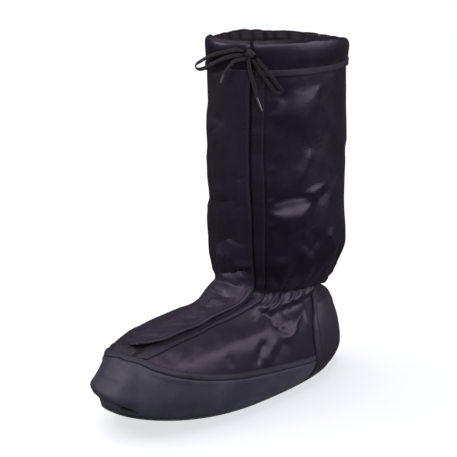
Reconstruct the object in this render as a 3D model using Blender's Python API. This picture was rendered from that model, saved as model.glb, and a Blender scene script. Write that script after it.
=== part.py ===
# Winter overshoe, left foot: a knee-length fabric gaiter boot on a thin moulded sole.
# Frame: +Z up, toe along -Y, +X the outer (lateral) side, origin on the floor under the heel.
import math

import bmesh
import bpy
import numpy as np

for old in list(bpy.data.objects):
    bpy.data.objects.remove(old, do_unlink=True)

MM = 0.001

# One row per girth line, in millimetres: how far the line reaches back and forward of the heel
# centre and at which height, its half widths, where it is widest, the squareness of its
# front and back, where along the foot it starts to rise toward the toe, how far its front
# turns inward and how deep the inner waist cuts in.
COLUMNS = ("back_f", "back_z", "front_f", "front_z", "lat", "med", "wide_lat", "wide_med",
           "square_front", "square_back", "flat_to", "rise_power", "toe_in", "waist")
GIRTHS = (
    ("feather",   -54.0,   2.8, 237.0,  21.0, 49.0, 47.0, 0.57, 0.64, 2.50, 2.4, 0.52, 1.8, 5.0, 6.0),
    ("welt",      -62.0,  11.0, 247.5,  31.0, 58.5, 56.0, 0.57, 0.64, 2.40, 2.3, 0.42, 1.8, 5.0, 4.0),
    ("rand",      -66.0,  26.0, 249.0,  45.0, 65.0, 60.0, 0.56, 0.62, 2.30, 2.3, 0.15, 1.5, 4.5, 2.0),
    ("toe_top",   -62.5,  48.0, 235.0,  68.0, 62.5, 57.5, 0.55, 0.60, 2.20, 2.3, 0.00, 1.0, 3.5, 0.5),
    ("vamp_low",  -54.0,  70.0, 210.0,  79.0, 57.0, 54.0, 0.54, 0.56, 2.15, 2.3, 0.00, 1.0, 2.5, 0.0),
    ("vamp_mid",  -43.0,  88.0, 160.0,  84.0, 47.0, 44.0, 0.52, 0.52, 2.10, 2.2, 0.00, 1.0, 1.2, 0.0),
    ("vamp_high", -37.0, 100.0, 113.0,  94.5, 45.0, 43.0, 0.50, 0.50, 2.10, 2.2, 0.00, 1.0, 0.0, 0.0),
    ("instep",    -38.0, 108.0,  91.0, 106.0, 47.5, 45.5, 0.50, 0.50, 2.20, 2.1, 0.00, 1.0, 0.0, 0.0),
    ("ankle",     -42.5, 117.0,  84.5, 120.0, 51.5, 53.0, 0.50, 0.50, 2.30, 2.1, 0.00, 1.0, 0.0, 0.0),
    ("shaft_low", -55.0, 140.0,  87.0, 146.0, 58.5, 60.5, 0.50, 0.50, 2.35, 2.1, 0.00, 1.0, 0.0, 0.0),
    ("shaft_mid", -61.5, 180.0,  90.0, 185.0, 61.0, 60.5, 0.50, 0.50, 2.20, 2.1, 0.00, 1.0, 0.0, 0.0),
    ("calf",      -67.0, 252.0,  97.0, 257.0, 57.0, 57.0, 0.50, 0.50, 2.00, 2.1, 0.00, 1.0, 0.0, 0.0),
    ("collar",    -65.0, 346.0,  96.0, 350.0, 55.0, 55.0, 0.50, 0.50, 2.00, 2.1, 0.00, 1.0, 0.0, 0.0),
)
TOP = float(len(GIRTHS) - 1)

WALL = 2.2            # nylon, wadding and lining together
SKIN_GAP = 0.3        # between the upper and a layer sewn on it
SKIN = 1.3            # coated fabric of rand and heel counter
TAPE = 0.9            # strip under the free edge of the flap
FLAP = 1.6            # flap over the front opening
SOLE = 2.5            # moulded sole
SOLE_GAP = 0.3
SOLE_EDGE = 2.6       # sole outside the feather line
SOLE_BEVEL = 1.0
BUTT_GAP = 0.4        # between two panels that meet edge to edge

# Edges along the girth, in millimetres of arc from the front centre line, + to the outer side.
# height row, flap inner edge, flap free edge, tape outer edge
FRONT_EDGES = (
    (0.00, -14.0, 14.0, 20.0),
    (3.30, -16.0, 16.0, 27.0),
    (4.20, -19.0, 18.0, 33.0),
    (5.00, -21.0, 20.0, 33.0),
    (5.80, -23.0, 23.0, 42.0),
    (6.60, -24.0, 26.0, 45.0),
    (7.80, -24.0, 28.5, 40.0),
    (9.30, -24.0, 29.0, 42.5),
    (10.4, -24.0, 29.5, 44.5),
    (12.0, -24.0, 31.0, 45.5),
)
TAPE_UNDER_FLAP = 5.0
FLAP_END_ROW = 4.2
FLAP_LIFT_SHAFT, FLAP_LIFT_FOOT = 1.5, 3.0

# height row of the rand's top seam by share of the half girth, outer and inner side
RAND_TOP = (
    (0.000, 3.53, 3.53), (0.060, 3.46, 3.30), (0.120, 3.15, 3.05), (0.200, 2.84, 2.82),
    (0.300, 2.63, 2.62), (0.420, 2.48, 2.48), (0.560, 2.39, 2.39), (0.700, 2.26, 2.26),
    (1.000, 2.15, 2.15),
)
# heel counter: share of the half girth of its front edge, outer and inner side, by height row
COUNTER_FRONT = (
    (0.0, 0.715, 0.620), (1.1, 0.714, 0.655), (2.2, 0.707, 0.685), (3.4, 0.708, 0.735),
    (4.5, 0.736, 0.775), (5.2, 0.752, 0.800),
)
COUNTER_TOP_ROW = 5.2

# drawcord casing over the top edge: stand-off from the upper and height above its edge
CASING_OUTER = ((1.9, -27.0), (3.4, -19.0), (3.9, -9.0), (2.6, 0.5), (-1.0, 4.4), (-4.7, 0.8), (-5.6, -9.0), (-4.4, -24.0))
CASING_INNER = ((0.4, -27.0), (1.7, -19.0), (2.2, -9.0), (1.1, 0.6), (-1.0, 2.6), (-3.0, 0.6), (-4.0, -9.0), (-2.7, -24.0))
CASING_SLIT = (31.0, 35.0)
CASING_RISE_MED = 3.0

LACE_R = 1.2
KNOT_AT = (31.5, 350.5, 8.6)       # arc from the front line, height, stand-off
KNOT_HALF = (4.3, 4.3, 3.0)
# bow: arc from the front line, height, stand-off from the upper
LOOP_MED = (
    (26.0, 352.6, 8.4), (22.0, 354.0, 8.0), (17.0, 353.4, 7.8), (7.5, 350.2, 7.4), (-0.6, 347.3, 7.4),
    (-9.0, 343.0, 8.4), (-16.0, 338.5, 10.5), (-20.5, 335.0, 13.0), (-21.0, 331.8, 14.0),
    (-16.5, 330.4, 12.8), (-11.0, 332.4, 9.8), (-4.2, 337.0, 7.6), (2.4, 341.0, 7.3), (8.0, 344.2, 7.3),
    (12.6, 346.2, 7.3), (18.0, 348.2, 7.5), (25.9, 349.2, 8.2),
)
LOOP_LAT = (
    (33.5, 345.0, 7.6), (37.3, 338.9, 7.2), (41.0, 332.6, 7.0), (45.3, 325.6, 6.6), (49.6, 319.8, 6.0),
    (53.6, 314.2, 5.6), (56.5, 311.6, 6.4), (59.3, 313.0, 8.2), (58.8, 316.0, 9.4), (55.0, 321.0, 9.6),
    (50.7, 327.7, 9.6), (45.8, 334.5, 9.6), (40.9, 340.6, 9.6), (36.9, 346.3, 9.4),
)
END_MED = ((27.7, 346.1, 7.8), (22.5, 344.6, 7.3), (18.6, 342.9, 7.2), (16.2, 340.4, 7.2), (13.2, 336.6, 7.2), (11.3, 332.8, 7.2), (9.2, 329.2, 7.2))
END_LAT = ((30.6, 344.8, 7.8), (31.0, 338.0, 7.3), (32.0, 332.5, 7.1), (33.8, 326.0, 6.8), (35.3, 320.5, 6.2), (37.0, 313.0, 5.6), (38.3, 307.7, 5.2))
AGLET_MED = ((9.1, 328.9, 7.2), (5.9, 320.4, 7.0))
AGLET_LAT = ((38.4, 307.3, 5.2), (43.4, 294.4, 4.6))
AGLET_R = 1.1

ROWS_RAND, ROWS_VAMP, ROWS_ANKLE, ROWS_SHAFT = 5, 5, 7, 8
GRID_V, GRID_U = 361, 720


def smooth_rows(table, at):
    """Cubic through evenly numbered rows."""
    table = np.asarray(table, float)
    at = np.asarray(at, float)
    n = len(table)
    k = np.clip(np.floor(at).astype(int), 0, n - 2)
    t = (at - k)[:, None]
    p1, p2 = table[k], table[k + 1]
    m1 = (p2 - table[np.maximum(k - 1, 0)]) / 2
    m2 = (table[np.minimum(k + 2, n - 1)] - p1) / 2
    return ((2 * t**3 - 3 * t**2 + 1) * p1 + (t**3 - 2 * t**2 + t) * m1
            + (3 * t**2 - 2 * t**3) * p2 + (t**3 - t**2) * m2)


def smooth_curve(table, x):
    """Monotone cubic of every column of a table over its first column."""
    table = np.asarray(table, float)
    xs, ys = table[:, 0], table[:, 1:]
    h = np.diff(xs)[:, None]
    d = np.diff(ys, axis=0) / h
    m = np.zeros_like(ys)
    m[0], m[-1] = d[0], d[-1]
    same = d[:-1] * d[1:] > 0
    m[1:-1] = np.where(same, 2 * d[:-1] * d[1:] / np.where(same, d[:-1] + d[1:], 1.0), 0.0)
    x = np.clip(np.atleast_1d(np.asarray(x, float)), xs[0], xs[-1])
    k = np.clip(np.searchsorted(xs, x, side="right") - 1, 0, len(xs) - 2)
    hk = h[k]
    t = ((x - xs[k]) / hk[:, 0])[:, None]
    return ((2 * t**3 - 3 * t**2 + 1) * ys[k] + (t**3 - 2 * t**2 + t) * hk * m[k]
            + (3 * t**2 - 2 * t**3) * ys[k + 1] + (t**3 - t**2) * hk * m[k + 1])


class Upper:
    """Outer face of the upper: row v (0 feather .. TOP collar), u = share of the girth,
    0 at the front line, + on the outer side, +-0.5 at the back line."""

    def __init__(self):
        self.v = np.linspace(0.0, TOP, GRID_V)
        row = smooth_rows([g[1:] for g in GIRTHS], self.v)
        phi = np.linspace(-math.pi, math.pi, 1441)
        c, s = np.cos(phi)[None, :], np.sin(phi)[None, :]
        (bf, bz, ff, fz, lat, med, wl, wm, nf, nb, t0, power, toe_in, waist) = [row[:, i:i + 1] for i in range(len(COLUMNS))]
        wide, half = np.where(s >= 0, wl, wm), np.where(s >= 0, lat, med)
        mid = bf + (ff - bf) * wide
        n = np.where(c >= 0, nf, nb)
        cc, ss = np.abs(c) ** (2 / n), np.abs(s) ** (2 / n)
        f = np.where(c >= 0, mid + (ff - mid) * cc, mid - (mid - bf) * cc)
        t = np.clip((f - bf) / (ff - bf), 0, 1)
        half = half - np.where(s < 0, waist, 0.0) * np.exp(-((t - 0.42) / 0.14) ** 2)
        x = np.sign(s) * half * ss - toe_in * t ** 3
        z = bz + (fz - bz) * (np.maximum(t - t0, 0) / (1 - t0)) ** power
        raw = np.stack([x, -f, z], -1)
        self.P = np.zeros((GRID_V, GRID_U + 1, 3))
        self.half = np.zeros((GRID_V, 2))
        m, h = GRID_U // 2, 720
        for i in range(GRID_V):
            for side, (a, b, lo, hi) in enumerate(((0, h, 0, m), (h, 2 * h, m, GRID_U))):
                q = raw[i, a:b + 1]
                arc = np.concatenate([[0.0], np.cumsum(np.linalg.norm(np.diff(q, axis=0), axis=1))])
                want = np.linspace(0, arc[-1], hi - lo + 1)
                for k in range(3):
                    self.P[i, lo:hi + 1, k] = np.interp(want, arc, q[:, k])
                self.half[i, side] = arc[-1]
        dv = np.gradient(self.P, axis=0)
        wrap = np.concatenate([self.P[:, -2:-1], self.P, self.P[:, 1:2]], axis=1)
        du = wrap[:, 2:] - wrap[:, :-2]
        n = np.cross(du, dv)
        self.N = n / np.linalg.norm(n, axis=2, keepdims=True)

    def sample(self, grid, u, v):
        u, v = np.asarray(u, float), np.asarray(v, float)
        x = (np.mod(u + 0.5, 1.0)) * GRID_U
        y = np.clip(v / TOP, 0, 1) * (GRID_V - 1)
        i = np.clip(np.floor(y).astype(int), 0, GRID_V - 2)
        j = np.clip(np.floor(x).astype(int), 0, GRID_U - 1)
        a, b = (y - i)[..., None], (x - j)[..., None]
        return ((grid[i, j] * (1 - b) + grid[i, j + 1] * b) * (1 - a)
                + (grid[i + 1, j] * (1 - b) + grid[i + 1, j + 1] * b) * a)

    def at(self, u, v, off=0.0):
        n = self.sample(self.N, u, v)
        n = n / np.linalg.norm(n, axis=-1, keepdims=True)
        return self.sample(self.P, u, v) + n * np.asarray(off, float)[..., None]

    def girth(self, v, side):
        y = np.clip(np.asarray(v, float) / TOP, 0, 1) * (GRID_V - 1)
        return np.interp(y, np.arange(GRID_V), self.half[:, 1 if side > 0 else 0])

    def u_of(self, arc, v):
        arc = np.asarray(arc, float)
        return np.where(arc >= 0, 0.5 * arc / self.girth(v, 1), 0.5 * arc / self.girth(v, -1))

    def v_at(self, u, z):
        """Row at which the column u is at the height z (shaft only)."""
        rows = np.linspace(7.0, TOP, 301)
        heights = self.sample(self.P, np.full(301, u), rows)[:, 2]
        return float(np.interp(z, heights, rows))

    def point(self, arc, z, off):
        v = TOP
        for _ in range(4):
            u = float(self.u_of(arc, v))
            v = self.v_at(u, z)
        p = self.at(np.array(u), np.array(v), np.array(off))
        top = self.sample(self.P, np.array(u), np.array(TOP))[2]
        if z > top:
            p[2] += z - top
        return p


S = Upper()


def material(name, colour, rough, metal=0.0):
    m = bpy.data.materials.new(name)
    m.use_nodes = True
    bsdf = m.node_tree.nodes["Principled BSDF"]
    bsdf.inputs["Base Color"].default_value = (*colour, 1.0)
    bsdf.inputs["Roughness"].default_value = rough
    bsdf.inputs["Metallic"].default_value = metal
    return m


NYLON = material("nylon", (0.020, 0.016, 0.024), 0.45)
COATED = material("coated_fabric", (0.045, 0.048, 0.060), 0.55)
RUBBER = material("sole_rubber", (0.015, 0.015, 0.017), 0.7)
WEBBING = material("tape", (0.016, 0.014, 0.018), 0.7)
CORD = material("lace", (0.050, 0.045, 0.052), 0.8)
TIP = material("aglet", (0.10, 0.10, 0.11), 0.35)


def add_mesh(name, points, faces, mat):
    mesh = bpy.data.meshes.new(name)
    mesh.from_pydata([tuple(p * MM) for p in points], [], faces)
    mesh.validate()
    work = bmesh.new()
    work.from_mesh(mesh)
    bmesh.ops.recalc_face_normals(work, faces=work.faces)
    work.to_mesh(mesh)
    work.free()
    mesh.materials.append(mat)
    obj = bpy.data.objects.new(name, mesh)
    bpy.context.scene.collection.objects.link(obj)
    return obj


def shell(name, outer, inner, mat, closed=False):
    """Solid between two grids [row][column]; rows go up, columns run from inner side to outer side."""
    rows, cols = outer.shape[:2]
    pts = np.concatenate([outer.reshape(-1, 3), inner.reshape(-1, 3)])
    base = rows * cols
    o = lambda i, j: i * cols + j % cols
    n = lambda i, j: base + i * cols + j % cols
    faces = []
    for i in range(rows - 1):
        for j in range(cols if closed else cols - 1):
            faces.append((o(i, j), o(i, j + 1), o(i + 1, j + 1), o(i + 1, j)))
            faces.append((n(i, j), n(i + 1, j), n(i + 1, j + 1), n(i, j + 1)))
    for j in range(cols if closed else cols - 1):
        faces.append((o(0, j), n(0, j), n(0, j + 1), o(0, j + 1)))
        faces.append((o(rows - 1, j), o(rows - 1, j + 1), n(rows - 1, j + 1), n(rows - 1, j)))
    if not closed:
        for i in range(rows - 1):
            faces.append((o(i, 0), o(i + 1, 0), n(i + 1, 0), n(i, 0)))
            j = cols - 1
            faces.append((o(i, j), n(i, j), n(i + 1, j), o(i + 1, j)))
    return add_mesh(name, pts, faces, mat)


# ---- the lattice that upper, rand, counter, flap and tape share ----
def rand_top(u):
    s = np.clip(np.abs(u) * 2, 0, 1)
    both = smooth_curve(RAND_TOP, s.ravel())
    return np.where(u >= 0, both[:, 0].reshape(s.shape), both[:, 1].reshape(s.shape))


def front_edge(v, k):
    return smooth_curve(FRONT_EDGES, np.ravel(v))[:, k].reshape(np.shape(v))


def counter_front(v, side):
    return 0.5 * smooth_curve(COUNTER_FRONT, np.ravel(v))[:, 0 if side > 0 else 1].reshape(np.shape(v))


COLUMN_STEPS = (("back_med", 5), ("counter_med", 14), ("flap_med", 3), ("front", 3), ("tape_in", 1), ("flap_lat", 1), ("tape_lat", 14), ("counter_lat", 6))


def column_knots(v):
    """Shares of the girth at the named column lines, for one array of height rows."""
    return {
        "back_med": np.full(np.shape(v), -0.5),
        "counter_med": -counter_front(v, -1),
        "flap_med": S.u_of(front_edge(v, 0), v),
        "front": np.zeros(np.shape(v)),
        "tape_in": S.u_of(front_edge(v, 1) - TAPE_UNDER_FLAP, v),
        "flap_lat": S.u_of(front_edge(v, 1), v),
        "tape_lat": S.u_of(front_edge(v, 2), v),
        "counter_lat": counter_front(v, 1),
        "back_lat": np.full(np.shape(v), 0.5),
    }


COLUMN_NAMES = [name for name, _ in COLUMN_STEPS] + ["back_lat"]
COLUMN_AT = {}
COUNT = 0
for name, steps in COLUMN_STEPS:
    COLUMN_AT[name] = COUNT
    COUNT += steps
COLUMN_AT["back_lat"] = COUNT
NCOL = COUNT


def row_values(u):
    """Height rows of the lattice over the girth shares u (one value per column)."""
    top = rand_top(u)
    rows = [top * k / ROWS_RAND for k in range(ROWS_RAND)]
    rows += [top + (COUNTER_TOP_ROW - top) * k / ROWS_VAMP for k in range(ROWS_VAMP)]
    rows += [np.full(np.shape(u), COUNTER_TOP_ROW + (8.7 - COUNTER_TOP_ROW) * k / ROWS_ANKLE) for k in range(ROWS_ANKLE)]
    shaft = [8.7 + (TOP - 8.7) * (k / ROWS_SHAFT) for k in range(ROWS_SHAFT + 1)]
    rows += [np.full(np.shape(u), r) for r in shaft]
    return rows


NROW = ROWS_RAND + ROWS_VAMP + ROWS_ANKLE + ROWS_SHAFT + 1
U = np.zeros((NROW, NCOL + 1))
V = np.tile(np.linspace(0, TOP, NROW)[:, None], (1, NCOL + 1))
for _ in range(8):
    for i in range(NROW):
        for a, b in zip(COLUMN_NAMES[:-1], COLUMN_NAMES[1:]):
            ja, jb = COLUMN_AT[a], COLUMN_AT[b]
            ka, kb = column_knots(V[i])[a], column_knots(V[i])[b]
            share = (np.arange(ja, jb + 1) - ja) / (jb - ja)
            U[i, ja:jb + 1] = ka[ja:jb + 1] * (1 - share) + kb[ja:jb + 1] * share
    for i in range(NROW):
        V[i] = row_values(U[i])[i]


def sole_top(u):
    """Height of the sole's upper face at the feather line."""
    return S.sample(S.P, u, np.zeros(np.shape(u)))[..., 2] - SOLE_GAP


def lift_to_sole(points, u):
    """Keep the lowest row of a skin clear of the sole."""
    points[0, :, 2] = np.maximum(points[0, :, 2], sole_top(u[0]) + SOLE_GAP)
    return points


# upper: one hollow solid, open at the collar and at the feather line
u, v = U[:, :NCOL], V[:, :NCOL]
outer, inner = S.at(u, v, np.zeros_like(u)), S.at(u, v, np.full_like(u, -WALL))
inner[0, :, 2] = outer[0, :, 2]
shell("upper", outer, inner, NYLON, closed=True)

# rand: coated fabric round the toe and along both sides up to the counter
a, b = COLUMN_AT["counter_med"], COLUMN_AT["counter_lat"]
u, v = U[:ROWS_RAND + 1, a:b + 1].copy(), V[:ROWS_RAND + 1, a:b + 1].copy()
v[0] = 0.14
u[:, 0] += 0.5 * BUTT_GAP / 720.0
u[:, -1] -= 0.5 * BUTT_GAP / 720.0
outer = lift_to_sole(S.at(u, v, np.full_like(u, SKIN_GAP + SKIN)), u)
inner = lift_to_sole(S.at(u, v, np.full_like(u, SKIN_GAP)), u)
shell("rand", outer, inner, COATED)

# heel counter: same fabric round the heel up to the gathered ankle
rows = ROWS_RAND + ROWS_VAMP + 1
left, right = COLUMN_AT["counter_lat"], COLUMN_AT["back_lat"]
u = np.concatenate([U[:rows, left:right], U[:rows, :a + 1] + 1.0], axis=1)
v = np.concatenate([V[:rows, left:right], V[:rows, :a + 1]], axis=1)
v[0] = 0.14
u[:, 0] += 0.5 * BUTT_GAP / 720.0
u[:, -1] -= 0.5 * BUTT_GAP / 720.0
outer = lift_to_sole(S.at(u, v, np.full_like(u, SKIN_GAP + SKIN)), u)
inner = lift_to_sole(S.at(u, v, np.full_like(u, SKIN_GAP)), u)
shell("heel_counter", outer, inner, COATED)

# top rows of flap and tape end just under the drawcord casing
casing_low = TOP + (CASING_OUTER[0][1] - BUTT_GAP) / 94.0


def strip(col_a, col_b, first_row, last_v):
    """Lattice part from first_row up to the height row last_v."""
    uu, vv = U[first_row:, col_a:col_b + 1], V[first_row:, col_a:col_b + 1]
    keep = int(np.argmax(vv[:, 0] > last_v))
    uu, vv = uu[:keep + 1].copy(), vv[:keep + 1].copy()
    w = (last_v - vv[-2]) / (vv[-1] - vv[-2])
    uu[-1] = uu[-2] + (uu[-1] - uu[-2]) * w
    vv[-1] = last_v
    return uu, vv


# tape: strip beside the opening, its inner edge under the flap
u, v = strip(COLUMN_AT["tape_in"], COLUMN_AT["tape_lat"], ROWS_RAND, casing_low)
v[0] += 0.05
outer = S.at(u, v, np.full_like(u, SKIN_GAP + TAPE))
inner = S.at(u, v, np.full_like(u, SKIN_GAP))
shell("placket_tape", outer, inner, WEBBING)

# flap: sewn down on its inner side, free on its outer side, round end over the toe
first = ROWS_RAND + 2
u, v = strip(COLUMN_AT["flap_med"], COLUMN_AT["flap_lat"], first, casing_low)
side = np.clip((u - u[:, :1]) / (u[:, -1:] - u[:, :1]), 0, 1)
foot = np.clip((8.0 - v) / 2.5, 0, 1)
lift = FLAP_LIFT_SHAFT + (FLAP_LIFT_FOOT - FLAP_LIFT_SHAFT) * foot
under = SKIN_GAP + 0.1 + (lift - SKIN_GAP - 0.1) * np.clip(side / 0.8, 0, 1) ** 1.2
middle = u[0].mean()
u[0] = middle + (u[0] - middle) * 0.72
u[1] = middle + (u[1] - middle) * 0.97
outer = S.at(u, v, under + FLAP)
inner = S.at(u, v, under)
shell("placket_flap", outer, inner, NYLON)

# drawcord casing: fabric folded over the top edge, slit beside the flap
slit_a, slit_b = [float(S.u_of(s, TOP)) for s in CASING_SLIT]
around = np.linspace(slit_b, slit_a + 1.0, 58)
turn = np.mod(around + 0.5, 1.0) - 0.5
arc_front = np.where(turn >= 0, turn * 2 * S.girth(TOP, 1), turn * 2 * S.girth(TOP, -1))
raised = 0.9 / (1 + np.exp((arc_front - 34.0) / 0.6)) / (1 + np.exp(-(arc_front + 26.0) / 4.0))
rise = CASING_RISE_MED * np.clip(-np.sin(turn * 2 * math.pi), 0, 1)


def casing_face(profile):
    out = np.zeros((len(profile), len(around), 3))
    for i, (off, dz) in enumerate(profile):
        lifted = off + (raised if off > 0 else 0.0)
        out[i] = S.at(around, np.full(len(around), TOP + min(dz, 0.0) / 94.0), np.full(len(around), 1.0) * lifted)
        out[i, :, 2] += max(dz, 0.0) + rise * np.clip((dz + 12.0) / 16.0, 0, 1)
    return out


shell("collar_casing", casing_face(CASING_OUTER), casing_face(CASING_INNER), NYLON)

# ---- sole ----
HALF = 24
share = 0.5 * (1 - np.cos(np.linspace(0, math.pi, HALF + 1)))
share = 0.55 * share + 0.45 * np.linspace(0, 1, HALF + 1)


def outline(out, dz):
    """Feather line moved outward in plan and down: inner side then outer side stations, toe to heel."""
    sides = []
    for sign in (-1, 1):
        uu = sign * 0.5 * share
        p = S.sample(S.P, uu, np.zeros(HALF + 1))
        q = S.sample(S.P, uu + 0.002, np.zeros(HALF + 1)) - S.sample(S.P, uu - 0.002, np.zeros(HALF + 1))
        side_dir = np.stack([-q[:, 1], q[:, 0], np.zeros(HALF + 1)], -1)
        side_dir /= np.linalg.norm(side_dir, axis=1, keepdims=True)
        centre = np.array([0.0, -90.0, 0.0])
        flip = np.sign(np.einsum("ij,ij->i", side_dir[:, :2], (p - centre)[:, :2]))
        p = p + side_dir * flip[:, None] * out
        p[:, 2] += dz
        sides.append(p)
    return sides


ACROSS = 6


def plate(out, dz):
    med, lat = outline(out, dz)
    w = np.linspace(0, 1, ACROSS + 1)[None, :, None]
    return med[1:-1, None] * (1 - w) + lat[1:-1, None] * w, med[0], med[-1]


top_grid, top_toe, top_heel = plate(SOLE_EDGE, -SOLE_GAP)
mid_grid, mid_toe, mid_heel = plate(SOLE_EDGE, -SOLE_GAP - SOLE + SOLE_BEVEL)
low_grid, low_toe, low_heel = plate(SOLE_EDGE - SOLE_BEVEL, -SOLE_GAP - SOLE)
pts, faces = [], []


def add(points):
    start = len(pts)
    pts.extend(points.reshape(-1, 3))
    return start


n_st, n_ac = top_grid.shape[:2]
t0, l0 = add(top_grid), add(low_grid)
t_toe, t_heel, l_toe, l_heel = add(top_toe), add(top_heel), add(low_toe), add(low_heel)
m_med, m_lat, m_toe, m_heel = add(mid_grid[:, 0]), add(mid_grid[:, -1]), add(mid_toe), add(mid_heel)
T = lambda i, j: t0 + i * n_ac + j
L = lambda i, j: l0 + i * n_ac + j
for i in range(n_st - 1):
    for j in range(n_ac - 1):
        faces.append((T(i, j), T(i, j + 1), T(i + 1, j + 1), T(i + 1, j)))
        faces.append((L(i, j), L(i + 1, j), L(i + 1, j + 1), L(i, j + 1)))
for j in range(n_ac - 1):
    faces.append((t_toe, T(0, j + 1), T(0, j)))
    faces.append((l_toe, L(0, j), L(0, j + 1)))
    faces.append((t_heel, T(n_st - 1, j), T(n_st - 1, j + 1)))
    faces.append((l_heel, L(n_st - 1, j + 1), L(n_st - 1, j)))
rim_top = [t_toe] + [T(i, 0) for i in range(n_st)] + [t_heel] + [T(i, n_ac - 1) for i in reversed(range(n_st))]
rim_mid = [m_toe] + [m_med + i for i in range(n_st)] + [m_heel] + [m_lat + i for i in reversed(range(n_st))]
rim_low = [l_toe] + [L(i, 0) for i in range(n_st)] + [l_heel] + [L(i, n_ac - 1) for i in reversed(range(n_st))]
for hi, lo in ((rim_top, rim_mid), (rim_mid, rim_low)):
    for k in range(len(hi)):
        m = (k + 1) % len(hi)
        faces.append((hi[k], hi[m], lo[m], lo[k]))
sole = add_mesh("outsole", np.array(pts), faces, RUBBER)


# ---- lace ----
def lace_points(table, step=4.0):
    p = np.array([S.point(*row) for row in table])
    fine = smooth_rows(p, np.linspace(0, len(p) - 1, 40 * len(p)))
    arc = np.concatenate([[0.0], np.cumsum(np.linalg.norm(np.diff(fine, axis=0), axis=1))])
    n = max(4, int(round(arc[-1] / step)))
    want = np.linspace(0, arc[-1], n + 1)
    return np.stack([np.interp(want, arc, fine[:, k]) for k in range(3)], -1)


def tube(name, table, radius, mat):
    p = lace_points(table)
    curve = bpy.data.curves.new(name, "CURVE")
    curve.dimensions = "3D"
    curve.bevel_depth = radius * MM
    curve.bevel_resolution = 2
    curve.use_fill_caps = True
    spline = curve.splines.new("POLY")
    spline.points.add(len(p) - 1)
    for point, q in zip(spline.points, p):
        point.co = (*(q * MM), 1.0)
    curve.materials.append(mat)
    obj = bpy.data.objects.new(name, curve)
    bpy.context.scene.collection.objects.link(obj)


tube("lace_loop_med", LOOP_MED, LACE_R, CORD)
tube("lace_loop_lat", LOOP_LAT, LACE_R, CORD)
tube("lace_end_med", END_MED, LACE_R, CORD)
tube("lace_end_lat", END_LAT, LACE_R, CORD)


def aglet(name, ends):
    a, b = [S.point(*row) for row in ends]
    axis = (b - a) / np.linalg.norm(b - a)
    side = np.cross(axis, [0.0, 0.0, 1.0])
    side /= np.linalg.norm(side)
    up = np.cross(axis, side)
    rings = ((0.0, 1.0), (0.9, 0.86), (1.0, 0.55))
    pts, faces, n = [], [], 12
    for share_, r in rings:
        for k in range(n):
            t = 2 * math.pi * k / n
            pts.append(a + (b - a) * share_ + (side * math.cos(t) + up * math.sin(t)) * AGLET_R * r)
    for i in range(len(rings) - 1):
        for k in range(n):
            m = (k + 1) % n
            faces.append((i * n + k, (i + 1) * n + k, (i + 1) * n + m, i * n + m))
    faces.append(tuple(range(n)))
    faces.append(tuple(reversed(range((len(rings) - 1) * n, len(rings) * n))))
    add_mesh(name, pts, faces, TIP)


aglet("aglet_med", AGLET_MED)
aglet("aglet_lat", AGLET_LAT)

# knot: a rounded body with the waist of the wrapping turn
centre = S.point(*KNOT_AT)
foot_of = S.point(KNOT_AT[0], KNOT_AT[1] - 6.0, 0.0)
out_dir = S.point(KNOT_AT[0], KNOT_AT[1] - 6.0, 1.0) - foot_of
out_dir[2] = 0.0
out_dir /= np.linalg.norm(out_dir)
up_dir = np.array([0.0, 0.0, 1.0])
side_dir = np.cross(up_dir, out_dir)
pts, faces = [], []
RINGS, SEG = 9, 16
for i in range(1, RINGS):
    a = math.pi * i / RINGS
    waist = 1.0 - 0.10 * math.exp(-((math.cos(a)) / 0.30) ** 2)
    for k in range(SEG):
        t = 2 * math.pi * k / SEG
        pts.append(centre + side_dir * KNOT_HALF[0] * math.cos(a)
                   + up_dir * KNOT_HALF[1] * math.sin(a) * math.cos(t) * waist
                   + out_dir * KNOT_HALF[2] * math.sin(a) * math.sin(t) * waist)
pts.append(centre + side_dir * KNOT_HALF[0])
pts.append(centre - side_dir * KNOT_HALF[0])
first_pole, last_pole = len(pts) - 2, len(pts) - 1
for i in range(RINGS - 2):
    for k in range(SEG):
        m = (k + 1) % SEG
        faces.append((i * SEG + k, i * SEG + m, (i + 1) * SEG + m, (i + 1) * SEG + k))
for k in range(SEG):
    m = (k + 1) % SEG
    faces.append((first_pole, m, k))
    faces.append((last_pole, (RINGS - 2) * SEG + k, (RINGS - 2) * SEG + m))
add_mesh("lace_knot", pts, faces, CORD)
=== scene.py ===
# Winter overshoe, left foot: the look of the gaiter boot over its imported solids.
# Frame: +Z up, toe along -Y, +X the outer (lateral) side, origin on the floor under the heel.
import math

import bmesh
import bpy
import numpy as np
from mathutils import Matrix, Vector


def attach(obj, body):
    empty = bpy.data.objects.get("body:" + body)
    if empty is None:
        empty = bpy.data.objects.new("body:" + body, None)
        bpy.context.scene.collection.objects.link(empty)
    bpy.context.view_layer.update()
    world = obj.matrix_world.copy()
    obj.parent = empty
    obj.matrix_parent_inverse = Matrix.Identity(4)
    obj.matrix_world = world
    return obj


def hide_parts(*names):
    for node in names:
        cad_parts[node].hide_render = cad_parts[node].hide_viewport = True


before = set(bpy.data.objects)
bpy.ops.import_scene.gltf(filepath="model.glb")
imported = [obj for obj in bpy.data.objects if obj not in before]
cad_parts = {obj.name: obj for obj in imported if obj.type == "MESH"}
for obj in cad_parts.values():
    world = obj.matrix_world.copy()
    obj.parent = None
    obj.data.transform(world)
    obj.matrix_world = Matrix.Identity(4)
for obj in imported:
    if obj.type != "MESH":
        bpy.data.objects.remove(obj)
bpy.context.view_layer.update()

MM = 0.001

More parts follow.
